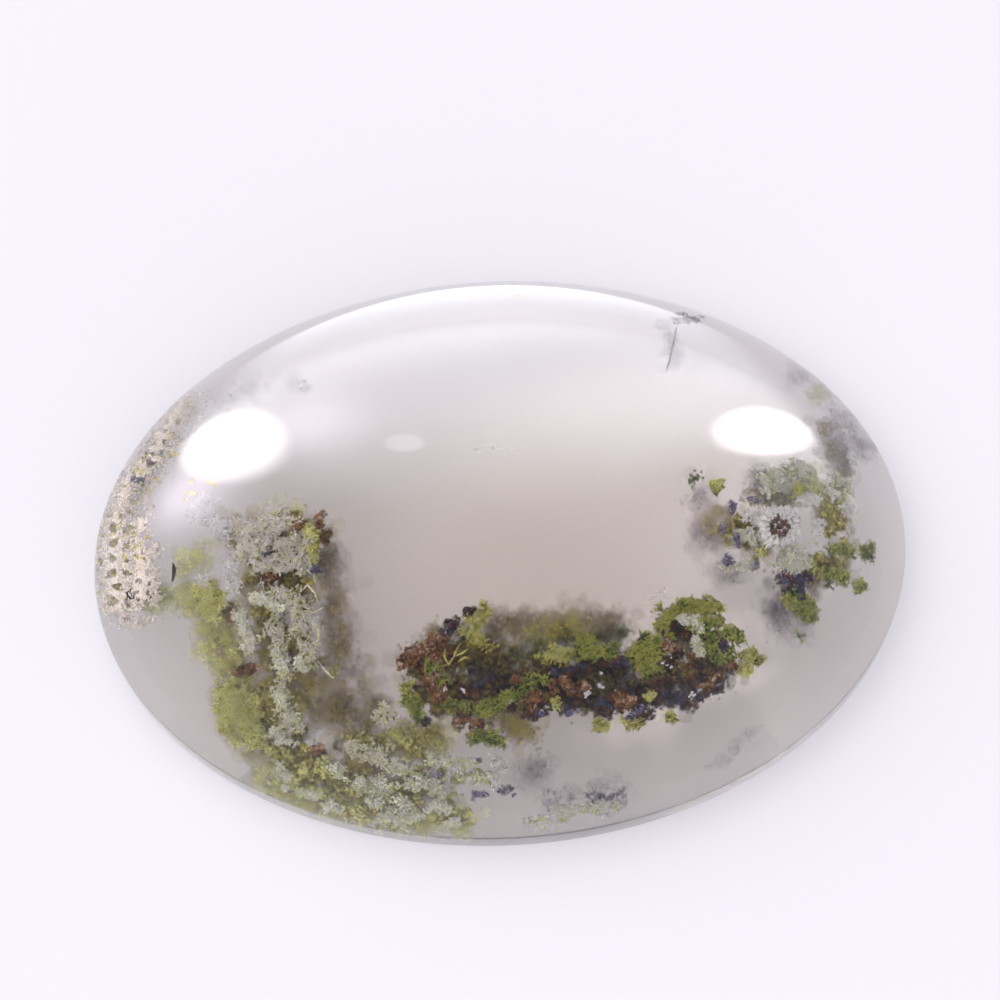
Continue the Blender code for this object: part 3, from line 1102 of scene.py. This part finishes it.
FROST_CAPS = [
    (10.1, 2.5, 10.7, 2.7, 0.4, 0.3, 0.8, 20), (11.2, 2.8, 11.5, 2.6, 0.35, 0.3, 0.8, 14),
    (10.6, -0.5, 11.2, -0.5, 0.35, 0.12, 0.5, 30), (8.9, 0.6, 9.9, 0.4, 0.35, 0.3, 0.8, 26),
    (8.2, -0.5, 9.4, -0.6, 0.16, 0.4, 0.9, 14), (7.0, -2.4, 7.3, -2.9, 0.22, 0.12, 0.4, 12),
    (6.6, -2.4, 6.8, -2.5, 0.12, 0.1, 0.3, 6), (7.1, -3.2, 7.3, -3.8, 0.14, 0.12, 0.4, 9),
    (12.4, 2.6, 13.2, 1.9, 0.25, 0.3, 0.7, 14),
]


class CABOCHON_OT_frost_lumps(bpy.types.Operator):
    """Grow the pale green lumps of the lower left and the caps on the right"""

    bl_idname = "cabochon.frost_lumps"
    bl_label = "Frost Lumps"

    def execute(self, context):
        moss, bed = growth(8)
        parts = [
            knobs(bed, FROST_BLOBS, 0.15, 18, 0.75),
            tufts(bed, FROST_BLOBS, 6, 5, 0.055, 0.035, 0.85, contrast=0.8),
            knobs(bed, FROST_CAPS, 0.14, 18, 0.9),
            tufts(bed, FROST_CAPS, 6, 5, 0.05, 0.035, 0.95),
            knobs(bed, FROST_DISCS, 0.55, 420, 0.95, share=0.075),
            knobs(bed, FROST_EDGE, 0.15, 16, 0.7),
            tufts(bed, FROST_EDGE, 6, 5, 0.055, 0.035, 0.85, contrast=0.7),
        ]
        colours = [
            between(moss.olive, moss.frost, 0.3), between(moss.olive, moss.frost, 0.75), moss.frost,
            between(moss.frost, moss.white, 0.3), between(moss.frost, moss.white, 0.75),
        ]
        plant(bed, "frost_lumps", parts, "pale_crust", colours)
        return {"FINISHED"}


RUST_BROWN = [
    (-3.8, -3.5, -3.1, -3.2, 0.28, 0.2, 0.7, 20), (-3.1, -3.1, -2.2, -2.6, 0.25, 0.2, 0.7, 24),
    (-2.7, -3.2, -2.5, -4.3, 0.3, 0.2, 0.8, 26), (-3.1, -4.1, -2.4, -4.8, 0.25, 0.2, 0.7, 20),
    (-2.0, -5.7, -0.9, -6.0, 0.22, 0.2, 0.7, 14), (-10.0, -3.6, -9.3, -3.4, 0.16, 0.25, 0.5, 14),
    (-10.15, -1.1, -10.1, -1.6, 0.12, 0.8, 1.4, 10), (-7.6, 1.8, -7.3, 1.7, 0.2, 0.2, 0.6, 10),
    (-6.7, 2.1, -6.4, 1.0, 0.2, 0.9, 1.6, 16), (-8.7, -0.1, -8.5, -0.2, 0.12, 0.2, 0.4, 5),
    (-7.2, -6.6, -7.0, -6.7, 0.16, 0.8, 1.4, 6), (0.3, -4.4, 0.5, -4.4, 0.14, 0.15, 0.4, 6),
    (1.7, -4.7, 2.3, -4.5, 0.18, 0.15, 0.5, 12), (6.7, -4.6, 7.2, -3.4, 0.2, 0.4, 0.9, 16),
]
RUST_ORANGE = [
    (4.1, -5.4, 4.7, -5.4, 0.3, 0.12, 0.5, 34), (7.2, -4.9, 8.1, -4.7, 0.2, 0.12, 0.5, 22),
    (0.7, -5.2, 1.2, -5.2, 0.28, 0.15, 0.6, 22), (2.4, -5.0, 3.0, -4.8, 0.22, 0.12, 0.4, 18),
    (6.0, -3.3, 6.3, -3.6, 0.2, 0.12, 0.4, 16), (8.3, -4.3, 8.4, -4.3, 0.14, 0.12, 0.4, 7),
]


class CABOCHON_OT_rust_knobs(bpy.types.Operator):
    """Grow the rust-brown and orange knobs"""

    bl_idname = "cabochon.rust_knobs"
    bl_label = "Rust Knobs"

    def execute(self, context):
        moss, bed = growth(9)
        parts = [
            knobs(bed, RUST_BROWN, 0.16, 18, 0.35),
            knobs(bed, RUST_ORANGE, 0.15, 20, 0.38, contrast=0.45),
            tufts(bed, RUST_BROWN[:4], 8, 5, 0.06, 0.04, 0.4),
        ]
        colours = [
            shade(moss.maroon, 0.8), shade(moss.rust, 0.5), between(moss.rust, moss.olive, 0.4),
            shade(moss.rust, 1.5), between(moss.rust, moss.cream, 0.5),
        ]
        plant(bed, "rust_knobs", parts, "rusty_moss", colours, patch=2500.0)
        return {"FINISHED"}


BLACK_KNOBS = [
    (-2.3, -2.6, -1.7, -2.1, 0.15, 0.25, 0.6, 14), (-1.4, -1.8, -1.0, -1.65, 0.08, 0.25, 0.5, 8),
    (-1.2, -4.3, -0.5, -4.4, 0.45, 0.5, 1.4, 50), (-3.1, -5.7, -2.9, -5.7, 0.1, 0.15, 0.4, 5),
    (1.6, -4.25, 3.0, -4.1, 0.16, 0.25, 0.8, 30), (2.8, -3.95, 4.6, -3.9, 0.2, 0.35, 0.9, 40),
    (0.6, -5.7, 1.4, -5.6, 0.28, 0.3, 0.9, 26), (2.2, -5.5, 2.9, -5.4, 0.22, 0.3, 0.9, 20),
    (3.3, -5.4, 3.8, -5.6, 0.38, 0.3, 1.0, 40), (4.7, -5.2, 5.2, -6.0, 0.3, 0.4, 1.0, 30),
    (5.6, -3.9, 6.3, -4.1, 0.25, 0.25, 0.8, 30), (6.2, -2.6, 6.7, -2.7, 0.22, 0.25, 0.7, 20),
    (8.1, -3.4, 8.2, -3.8, 0.12, 0.2, 0.5, 9), (6.9, -5.5, 8.0, -5.0, 0.2, 0.35, 0.9, 26),
    (5.8, -5.3, 6.8, -5.6, 0.35, 0.6, 1.2, 36), (-8.0, 0.5, -7.8, 0.5, 0.16, 0.4, 0.9, 6),
    (-12.9, 4.8, -12.85, 4.3, 0.1, 0.06, 0.2, 12), (-13.5, 3.75, -13.1, 3.75, 0.08, 0.06, 0.2, 10),
    (-13.9, -0.45, -13.7, -0.45, 0.06, 0.06, 0.2, 6), (10.3, -1.15, 11.5, -1.15, 0.14, 0.4, 0.9, 26),
    (10.8, -1.5, 11.3, -1.6, 0.25, 0.4, 0.9, 20), (6.9, 8.7, 7.8, 8.7, 0.16, 0.1, 0.4, 22),
]


class CABOCHON_OT_dark_knobs(bpy.types.Operator):
    """Grow the maroon-black knobs, the flake on the left and the disc inside the daisy ring"""

    bl_idname = "cabochon.dark_knobs"
    bl_label = "Dark Knobs"

    def execute(self, context):
        moss, bed = growth(10)
        disc = [(*DAISY, *DAISY, 0.16, 0.05, 0.12, 18)]
        for side in range(DISC_SIDES):
            spot = daisy_place(2 * math.pi * side / DISC_SIDES, DISC_REACH)
            disc.append((*spot, *spot, 0.12, 0.06, 0.14, 8))
        parts = [
            knobs(bed, BLACK_KNOBS, 0.15, 18, 0.4, share=0.3),
            knobs(bed, disc, 0.07, 14, 0.3, contrast=0.5, share=0.4),
            strand(bed, [(-12.15, 0.62), (-12.12, 0.3), (-12.2, -0.05)], 0.08, 0.12, 0.075, 60, 0.0),
            strand(bed, [(7.05, 8.5), (6.9, 7.9), (6.7, 7.2), (6.55, 6.8)], 0.2, 0.6, 0.05, 60, 0.5),
        ]
        colours = [*shades(moss.maroon, 0.25, 1.0, 2.2), shade(moss.rust, 1.2)]
        others = shades(moss.indigo, 0.12, 0.25, 0.5, 1.0)
        plant(bed, "dark_knobs", parts, "rusty_moss", colours, others)
        return {"FINISHED"}


BLUE_SPECKS = [
    (8.7, 1.6, 8.95, 1.6, 0.16, 0.15, 0.4, 9), (9.4, 1.85, 9.7, 1.8, 0.12, 0.15, 0.4, 6),
    (8.35, 0.95, 8.45, 0.7, 0.12, 0.15, 0.4, 7), (8.8, 0.6, 8.9, 0.1, 0.14, 0.15, 0.4, 9),
    (8.3, -0.25, 8.6, -0.5, 0.15, 0.2, 0.5, 9), (9.3, -0.5, 9.6, -0.6, 0.14, 0.2, 0.5, 8),
    (10.4, -1.2, 11.6, -1.2, 0.18, 0.35, 0.7, 16), (-8.8, 0.9, -8.6, 0.8, 0.16, 0.2, 0.5, 8),
    (-7.0, 0.15, -6.6, 0.1, 0.14, 0.2, 0.6, 9), (-1.5, -8.6, -0.9, -8.5, 0.16, 0.3, 0.8, 12),
    (-0.5, -8.5, 0.0, -8.4, 0.22, 0.5, 1.1, 14), (2.2, -5.7, 2.6, -5.7, 0.12, 0.12, 0.4, 8),
    (4.4, -6.0, 5.1, -5.7, 0.2, 0.15, 0.5, 14), (0.9, -5.7, 1.3, -5.7, 0.14, 0.15, 0.4, 8),
    (-2.8, -7.8, -2.6, -7.8, 0.08, 0.2, 0.4, 4), (-1.3, -7.3, -1.1, -7.3, 0.08, 0.2, 0.4, 4),
    (2.9, -8.9, 4.1, -8.9, 0.22, 0.6, 1.4, 20),
]


class CABOCHON_OT_indigo_specks(bpy.types.Operator):
    """Grow the blue-violet specks"""

    bl_idname = "cabochon.indigo_specks"
    bl_label = "Indigo Specks"

    def execute(self, context):
        moss, bed = growth(13)
        parts = [knobs(bed, BLUE_SPECKS, 0.11, 18, 0.45, share=0.3)]
        colours = [*shades(moss.indigo, 0.3, 0.8, 1.5), moss.lilac]
        plant(bed, "indigo_specks", parts, "rusty_moss", colours)
        return {"FINISHED"}


PALE_CLOUDS = [
    (-12.9, -0.6, -11.0, -0.9, 0.5, 0.8, 2.4, 800), (-11.8, 0.5, -11.0, 1.2, 0.4, 0.6, 1.8, 300),
    (-11.2, -1.8, -9.6, -2.4, 0.6, 1.2, 3.0, 600), (-8.6, 2.3, -7.3, 2.4, 0.4, 0.7, 1.8, 100),
    (-9.2, -7.4, -7.2, -8.9, 0.45, 0.3, 1.4, 1000), (-7.2, -8.9, -1.6, -9.6, 0.45, 0.4, 1.8, 1900),
    (12.0, 5.6, 12.5, 5.9, 0.3, 0.3, 0.9, 120), (11.2, 2.4, 12.0, 2.3, 0.4, 0.5, 1.4, 260),
    (12.2, 1.9, 13.0, 1.4, 0.4, 0.3, 0.8, 400),
]
YELLOW_CLOUDS = [
    (-10.3, -4.2, -9.7, -6.2, 0.7, 0.7, 2.4, 1200), (-8.6, -4.2, -8.2, -5.4, 0.5, 0.6, 1.8, 500),
    (-4.4, -6.3, -2.4, -6.6, 0.45, 0.6, 1.8, 600), (-11.2, -0.3, -10.9, -1.4, 0.5, 0.5, 1.6, 300),
    (-10.7, -2.2, -9.7, -4.2, 0.7, 1.0, 2.8, 900), (0.8, -2.7, 3.4, -2.6, 0.4, 1.6, 3.0, 700),
]
OLIVE_CLOUDS = [
    (-0.8, -5.4, 0.8, -6.4, 0.5, 0.8, 2.2, 900), (-9.6, 1.3, -7.0, 1.4, 0.8, 0.9, 2.6, 1700),
    (-9.0, -0.2, -7.2, -0.6, 0.75, 0.9, 2.6, 1300), (-8.9, -1.6, -7.7, -3.8, 0.85, 0.9, 2.8, 1800),
    (-9.2, -4.0, -8.3, -6.4, 0.9, 0.9, 3.0, 1700), (-8.8, -6.8, -6.4, -7.8, 0.9, 0.6, 2.4, 1600),
    (-6.6, -7.8, -2.4, -8.2, 0.9, 0.8, 2.6, 1900), (-6.0, -6.4, -2.6, -6.6, 0.7, 0.9, 2.6, 900),
    (8.3, 1.2, 9.8, 0.2, 0.6, 0.9, 2.4, 700), (11.0, -0.7, 12.8, -0.6, 0.55, 0.8, 2.2, 700),
    (12.2, 1.6, 12.9, 0.8, 0.5, 0.6, 1.8, 400),
]


class CABOCHON_OT_olive_mist(bpy.types.Operator):
    """Grow the soft olive and yellow-green clouds behind the moss on the left"""

    bl_idname = "cabochon.olive_mist"
    bl_label = "Olive Mist"

    def execute(self, context):
        moss, bed = growth(14)
        colours = [
            *shades(moss.olive, 0.7, 1.2, 1.7), between(moss.olive, moss.lime, 0.8),
            between(moss.lime, moss.frost, 0.7),
        ]
        groups = ((OLIVE_CLOUDS, 0.35), (YELLOW_CLOUDS, 0.8), (PALE_CLOUDS, 0.95))
        plant_cloud(bed, "olive", groups, colours, "green_moss", 0.12)
        return {"FINISHED"}


DARK_CLOUDS = [
    (-0.9, -4.3, -0.4, -4.8, 0.5, 0.8, 2.0, 900), (0.4, -4.6, 3.6, -5.2, 0.5, 0.8, 2.2, 1500),
    (4.0, -4.4, 6.4, -5.2, 0.5, 0.8, 2.0, 1300), (6.4, -4.8, 8.0, -4.7, 0.45, 0.6, 1.6, 900),
    (3.0, -3.9, 5.0, -3.8, 0.35, 0.6, 1.6, 600), (6.0, -2.6, 6.8, -2.9, 0.4, 0.6, 1.6, 400),
    (10.4, -1.0, 11.5, -1.5, 0.35, 0.6, 1.6, 350),
]
BROWN_CLOUDS = [
    (-3.4, -3.4, -2.0, -2.9, 0.5, 0.6, 2.0, 800), (-3.2, -4.8, -1.6, -4.6, 0.65, 0.6, 2.0, 1200),
    (-1.9, -2.8, 0.4, -3.4, 0.65, 1.0, 2.6, 1200), (0.6, -4.0, 3.0, -3.9, 0.45, 1.0, 2.4, 900),
    (-7.4, -4.4, -5.4, -5.8, 0.9, 1.2, 3.0, 1700), (6.4, -3.2, 7.8, -3.6, 0.5, 0.6, 1.8, 800),
    (9.4, 1.9, 10.8, 1.9, 0.4, 0.8, 2.0, 500), (12.4, 4.6, 13.0, 2.4, 0.45, 0.5, 1.6, 500),
]
SMOKE_CLOUDS = [
    (0.2, -2.3, 4.4, -2.4, 0.45, 2.2, 3.8, 1300), (-6.5, 1.2, -6.1, -3.6, 0.4, 1.2, 2.6, 1300),
    (-0.6, -2.4, 0.6, -2.4, 0.5, 1.6, 3.0, 450), (-5.6, -3.6, -4.6, -5.6, 0.7, 2.0, 3.6, 400),
]


class CABOCHON_OT_brown_mist(bpy.types.Operator):
    """Grow the soft brown and maroon clouds behind the moss of the middle"""

    bl_idname = "cabochon.brown_mist"
    bl_label = "Brown Mist"

    def execute(self, context):
        moss, bed = growth(15)
        colours = [
            shade(moss.maroon, 0.5), shade(moss.maroon, 1.6), between(moss.maroon, moss.olive, 0.75),
            shade(moss.olive, 1.2), between(moss.olive, moss.lilac, 0.45),
        ]
        groups = ((DARK_CLOUDS, 0.1), (BROWN_CLOUDS, 0.6), (SMOKE_CLOUDS, 0.95))
        plant_cloud(bed, "brown", groups, colours, "rusty_moss", 0.10)
        return {"FINISHED"}


GREY_CLOUDS = [
    (-10.3, 6.4, -8.6, 7.0, 0.45, 0.8, 2.4, 200), (-7.2, 7.0, -6.9, 7.1, 0.3, 0.8, 1.8, 100),
    (-6.2, 0.8, -5.9, -3.8, 0.55, 1.8, 3.8, 900), (7.6, 2.3, 7.8, 0.0, 0.5, 1.4, 3.0, 900),
    (8.0, -0.7, 9.0, -1.0, 0.35, 1.4, 2.6, 240), (10.1, -1.8, 10.8, -3.2, 0.45, 1.4, 3.0, 1000),
    (1.0, -8.9, 4.2, -8.7, 0.4, 0.6, 1.8, 500), (0.3, -8.0, 1.3, -7.5, 0.4, 1.6, 3.0, 420),
    (11.4, 7.0, 12.6, 5.6, 0.5, 0.6, 1.8, 700), (12.8, 5.2, 13.9, 3.3, 0.45, 0.4, 1.4, 900),
    (12.2, 4.4, 13.0, 2.6, 0.5, 0.6, 1.8, 600), (6.6, 8.6, 7.0, 7.0, 0.25, 0.8, 1.8, 260),
    (9.6, 3.0, 9.8, 2.0, 0.35, 0.8, 2.0, 320), (8.0, -7.7, 9.4, -6.7, 0.25, 0.8, 1.8, 110),
    (7.3, -8.0, 8.4, -7.6, 0.12, 0.6, 1.2, 60),
]


class CABOCHON_OT_grey_haze(bpy.types.Operator):
    """Grow the deep blurred grey and lilac clouds"""

    bl_idname = "cabochon.grey_haze"
    bl_label = "Grey Haze"

    def execute(self, context):
        moss, bed = growth(11)
        colours = shades(moss.lilac, 0.5, 0.75, 1.0)
        plant_cloud(bed, "grey", ((GREY_CLOUDS, 0.5),), colours, "pale_crust", 0.05)
        return {"FINISHED"}


def floor_material(stage):
    material, shader, tree = principled("floor", {
        "Roughness": 0.7,
        "Specular IOR Level": 0.0,
        "Emission Color": (*FLOOR_LAMP, 1.0),
        "Emission Strength": stage.floor_glow,
    })
    light = tuple(stage.floor_colour)
    grain = object_noise(tree, 6.0, detail=2.0)
    colour = ramp(tree, grain, [(0.35, shade(light, 0.985)), (0.65, light)])
    tree.links.new(colour, shader.inputs["Base Color"])
    found_by_chance(material)
    return material


def add_stage_piece(name, work, material):
    """Turns a finished bmesh into an object of the stage."""
    mesh = bpy.data.meshes.new(name)
    work.to_mesh(mesh)
    work.free()
    mesh.materials.append(material)
    piece = bpy.data.objects.new(name, mesh)
    bpy.context.scene.collection.objects.link(piece)
    return piece


def make_floor(stage):
    work = bmesh.new()
    bmesh.ops.create_circle(work, cap_ends=True, segments=64, radius=FLOOR_RADIUS)
    bmesh.ops.translate(work, vec=(0, 0, -FLOOR_GAP), verts=work.verts)
    floor = add_stage_piece("floor", work, floor_material(stage))


def make_sky(stage):
    """Soft light from all round, brighter towards the horizon."""
    world = bpy.data.worlds.new("sky")
    bpy.context.scene.world = world
    world.use_nodes = True
    tree = world.node_tree
    place = add_node(tree, "ShaderNodeTexCoord").outputs["Generated"]
    split = add_node(tree, "ShaderNodeSeparateXYZ", links={"Vector": place})
    levels = [(height, shade(stage.sky_colour, level)) for height, level in SKY_LEVELS]
    background = tree.nodes["Background"]
    tree.links.new(ramp(tree, split.outputs["Z"], levels), background.inputs["Color"])
    background.inputs["Strength"].default_value = stage.sky_strength
    world.cycles.sampling_method = "NONE"


def faded(tree, source, stops):
    """Brightness that follows a length or a slope, as (value, brightness) stops."""
    low, high = stops[0][0], stops[-1][0]
    span = {"From Min": low, "From Max": high}
    place = add_node(tree, "ShaderNodeMapRange", span, {"Value": source})
    shares = [((at - low) / (high - low), (glow, glow, glow)) for at, glow in stops]
    return ramp(tree, place.outputs["Result"], shares)


def add_glow(tree, colour, strength):
    """Makes a see-through surface that only adds light, so it has no dark border."""
    glow = add_node(tree, "ShaderNodeEmission", {"Color": (*colour, 1.0)}, {"Strength": strength})
    clear = add_node(tree, "ShaderNodeBsdfTransparent")
    both = add_node(
        tree, "ShaderNodeAddShader", links={0: glow.outputs["Emission"], 1: clear.outputs["BSDF"]},
    )
    tree.links.new(both.outputs["Shader"], tree.nodes["Material Output"].inputs["Surface"])


def found_by_chance(material):
    """Skips the direct rays towards a glowing surface, which the stone would stop anyway."""
    material.cycles.emission_sampling = "NONE"


def only_mirrored(piece):
    """Lets only the polish show a piece."""
    piece.visible_diffuse = False
    piece.visible_transmission = False
    piece.visible_shadow = False


def make_glow_card(stage):
    """A sweep behind the stone whose glow fades upwards and sideways. Only the polish mirrors it."""
    work = bmesh.new()
    half = CARD_WIDTH / 2
    ends = [(-half, CARD_START, CARD_LIFT), (half, CARD_START, CARD_LIFT)]
    edge = work.edges.new([work.verts.new(end) for end in ends])
    for move in ((0, CARD_DISTANCE - CARD_START, 0), (0, 0, CARD_HEIGHT)):
        grown = bmesh.ops.extrude_edge_only(work, edges=[edge])["geom"]
        corners = [part for part in grown if isinstance(part, bmesh.types.BMVert)]
        edge = next(part for part in grown if isinstance(part, bmesh.types.BMEdge))
        bmesh.ops.translate(work, vec=move, verts=corners)
    material, shader, tree = principled("glow_card")
    split = add_node(tree, "ShaderNodeSeparateXYZ", links={"Vector": own_place(tree)})
    across, away, height = split.outputs
    upwards = faded(tree, height, CARD_UPWARDS)
    sideways = faded(tree, calculated(tree, "DIVIDE", across, away), CARD_SIDEWAYS)
    both = calculated(tree, "MULTIPLY", upwards, sideways)
    add_glow(tree, CARD_COLOUR, calculated(tree, "MULTIPLY", both, stage.card_glow))
    found_by_chance(material)
    card = add_stage_piece("glow_card", work, material)
    card.visible_camera = False
    only_mirrored(card)


def make_softbox(name, azimuth, elevation, distance, width, height, glow, colour, turn=0.0, fade=CRISP_FADE):
    """A round glowing panel with soft edges that faces the stone, azimuth counted from behind it."""
    work = bmesh.new()
    bmesh.ops.create_circle(work, cap_ends=True, segments=48, radius=1.0)
    material, shader, tree = principled(name)
    levels = [(at, (share * glow,) * 3) for at, share in fade]
    add_glow(tree, colour, ramp(tree, round_fade(tree, own_place(tree)), levels))
    found_by_chance(material)
    softbox = add_stage_piece(name, work, material)
    side, lift = math.radians(azimuth), math.radians(elevation)
    back = Vector((math.sin(side) * math.cos(lift), math.cos(side) * math.cos(lift), math.sin(lift)))
    facing = back.to_track_quat("Z", "Y").to_matrix() @ Matrix.Rotation(math.radians(turn), 3, "Z")
    size = Matrix.Diagonal((width / 2, height / 2, 1.0, 1.0))
    softbox.matrix_world = Matrix.Translation(back * distance) @ facing.to_4x4() @ size
    softbox.visible_camera = False
    return softbox


def make_camera(stage):
    data = bpy.data.cameras.new("camera")
    data.lens = LENS
    data.sensor_width = SENSOR
    data.clip_start, data.clip_end = 0.01, 10.0
    camera = bpy.data.objects.new("camera", data)
    tilt = math.pi / 2 - stage.elevation
    look = Vector((0.0, math.sin(tilt), -math.cos(tilt)))
    turn = Matrix.Rotation(stage.roll, 3, look)
    up = turn @ Vector((0.0, math.cos(tilt), math.sin(tilt)))
    right = look.cross(up)
    aim = Vector((0.0, 0.0, stage.aim_height))
    axes = Matrix((right, up, -look)).transposed()
    place = aim + up * stage.headroom - look * stage.distance
    camera.matrix_world = Matrix.Translation(place) @ axes.to_4x4()
    bpy.context.scene.collection.objects.link(camera)
    bpy.context.scene.camera = camera


class CABOCHON_OT_stage(bpy.types.Operator):
    """Add the pale floor, the soft light and the camera"""

    bl_idname = "cabochon.stage"
    bl_label = "Stage"

    def execute(self, context):
        stage = settings().stage
        make_floor(stage)
        make_sky(stage)
        make_camera(stage)
        make_glow_card(stage)
        fills = [
            make_softbox("front_fill", 158, 36, 0.5, 1.5, 0.8, 3.5, WHITE_LAMP),
            make_softbox("top_fill", -60, 54, 0.6, 1.3, 1.1, 5.8, WHITE_LAMP),
        ]
        for fill in fills:
            fill.visible_glossy = False
        mirrored = [
            make_softbox("right_softbox", 44.3, 23.2, 0.35, 0.091, 0.205, 14, WHITE_LAMP, turn=-6),
            make_softbox("left_softbox", -40.7, 20.6, 0.35, 0.12, 0.26, 9, WHITE_LAMP, turn=-5),
            make_softbox("left_halo", -55, 22.5, 0.36, 0.21, 0.27, 7, LILAC_LAMP, fade=SOFT_FADE),
            make_softbox("left_lilac", -28, 31.8, 0.36, 0.15, 0.24, 3.2, LILAC_LAMP, fade=SOFT_FADE),
            make_softbox("small_lamp", -18, 49, 0.35, 0.033, 0.046, 2.5, WHITE_LAMP, turn=19),
        ]
        for softbox in mirrored:
            only_mirrored(softbox)
        scene = bpy.context.scene
        scene.view_settings.view_transform = "Standard"
        scene.cycles.max_bounces = 12
        scene.cycles.glossy_bounces = 4
        scene.cycles.transmission_bounces = 10
        scene.cycles.transparent_max_bounces = 64
        scene.cycles.diffuse_bounces = 2
        return {"FINISHED"}


class CABOCHON_PT_sidebar(bpy.types.Panel):
    """Lists the builders and the settings of the stone"""

    bl_idname = "CABOCHON_PT_sidebar"
    bl_label = "Moss Agate Cabochon"
    bl_space_type = "VIEW_3D"
    bl_region_type = "UI"
    bl_category = "Cabochon"

    def draw(self, context):
        layout = self.layout
        values = context.scene.cabochon
        for title, group in (("Stone", values.stone), ("Moss", values.moss), ("Stage", values.stage)):
            box = layout.box()
            box.label(text=title)
            for name in group.__annotations__:
                box.prop(group, name)
        for builder in BUILDERS:
            layout.operator(builder.bl_idname)


BUILDERS = (
    CABOCHON_OT_stone, CABOCHON_OT_rim_crust, CABOCHON_OT_gold_crystals, CABOCHON_OT_plume,
    CABOCHON_OT_white_feathers, CABOCHON_OT_lime_moss, CABOCHON_OT_leaf_moss,
    CABOCHON_OT_olive_banks, CABOCHON_OT_brown_bank, CABOCHON_OT_frost_lumps,
    CABOCHON_OT_rust_knobs, CABOCHON_OT_dark_knobs, CABOCHON_OT_indigo_specks,
    CABOCHON_OT_olive_mist, CABOCHON_OT_brown_mist, CABOCHON_OT_grey_haze, CABOCHON_OT_stage,
)
CLASSES = (StoneSettings, MossSettings, StageSettings, CabochonSettings, *BUILDERS, CABOCHON_PT_sidebar)


def register():
    for item in CLASSES:
        bpy.utils.register_class(item)
    bpy.types.Scene.cabochon = PointerProperty(type=CabochonSettings)


def unregister():
    del bpy.types.Scene.cabochon
    for item in reversed(CLASSES):
        bpy.utils.unregister_class(item)


def main():
    register()
    bpy.ops.cabochon.stone()
    bpy.ops.cabochon.rim_crust()
    bpy.ops.cabochon.gold_crystals()
    bpy.ops.cabochon.plume()
    bpy.ops.cabochon.white_feathers()
    bpy.ops.cabochon.lime_moss()
    bpy.ops.cabochon.leaf_moss()
    bpy.ops.cabochon.olive_banks()
    bpy.ops.cabochon.brown_bank()
    bpy.ops.cabochon.frost_lumps()
    bpy.ops.cabochon.rust_knobs()
    bpy.ops.cabochon.dark_knobs()
    bpy.ops.cabochon.indigo_specks()
    bpy.ops.cabochon.olive_mist()
    bpy.ops.cabochon.brown_mist()
    bpy.ops.cabochon.grey_haze()
    bpy.ops.cabochon.stage()


if __name__ == "__main__":
    main()
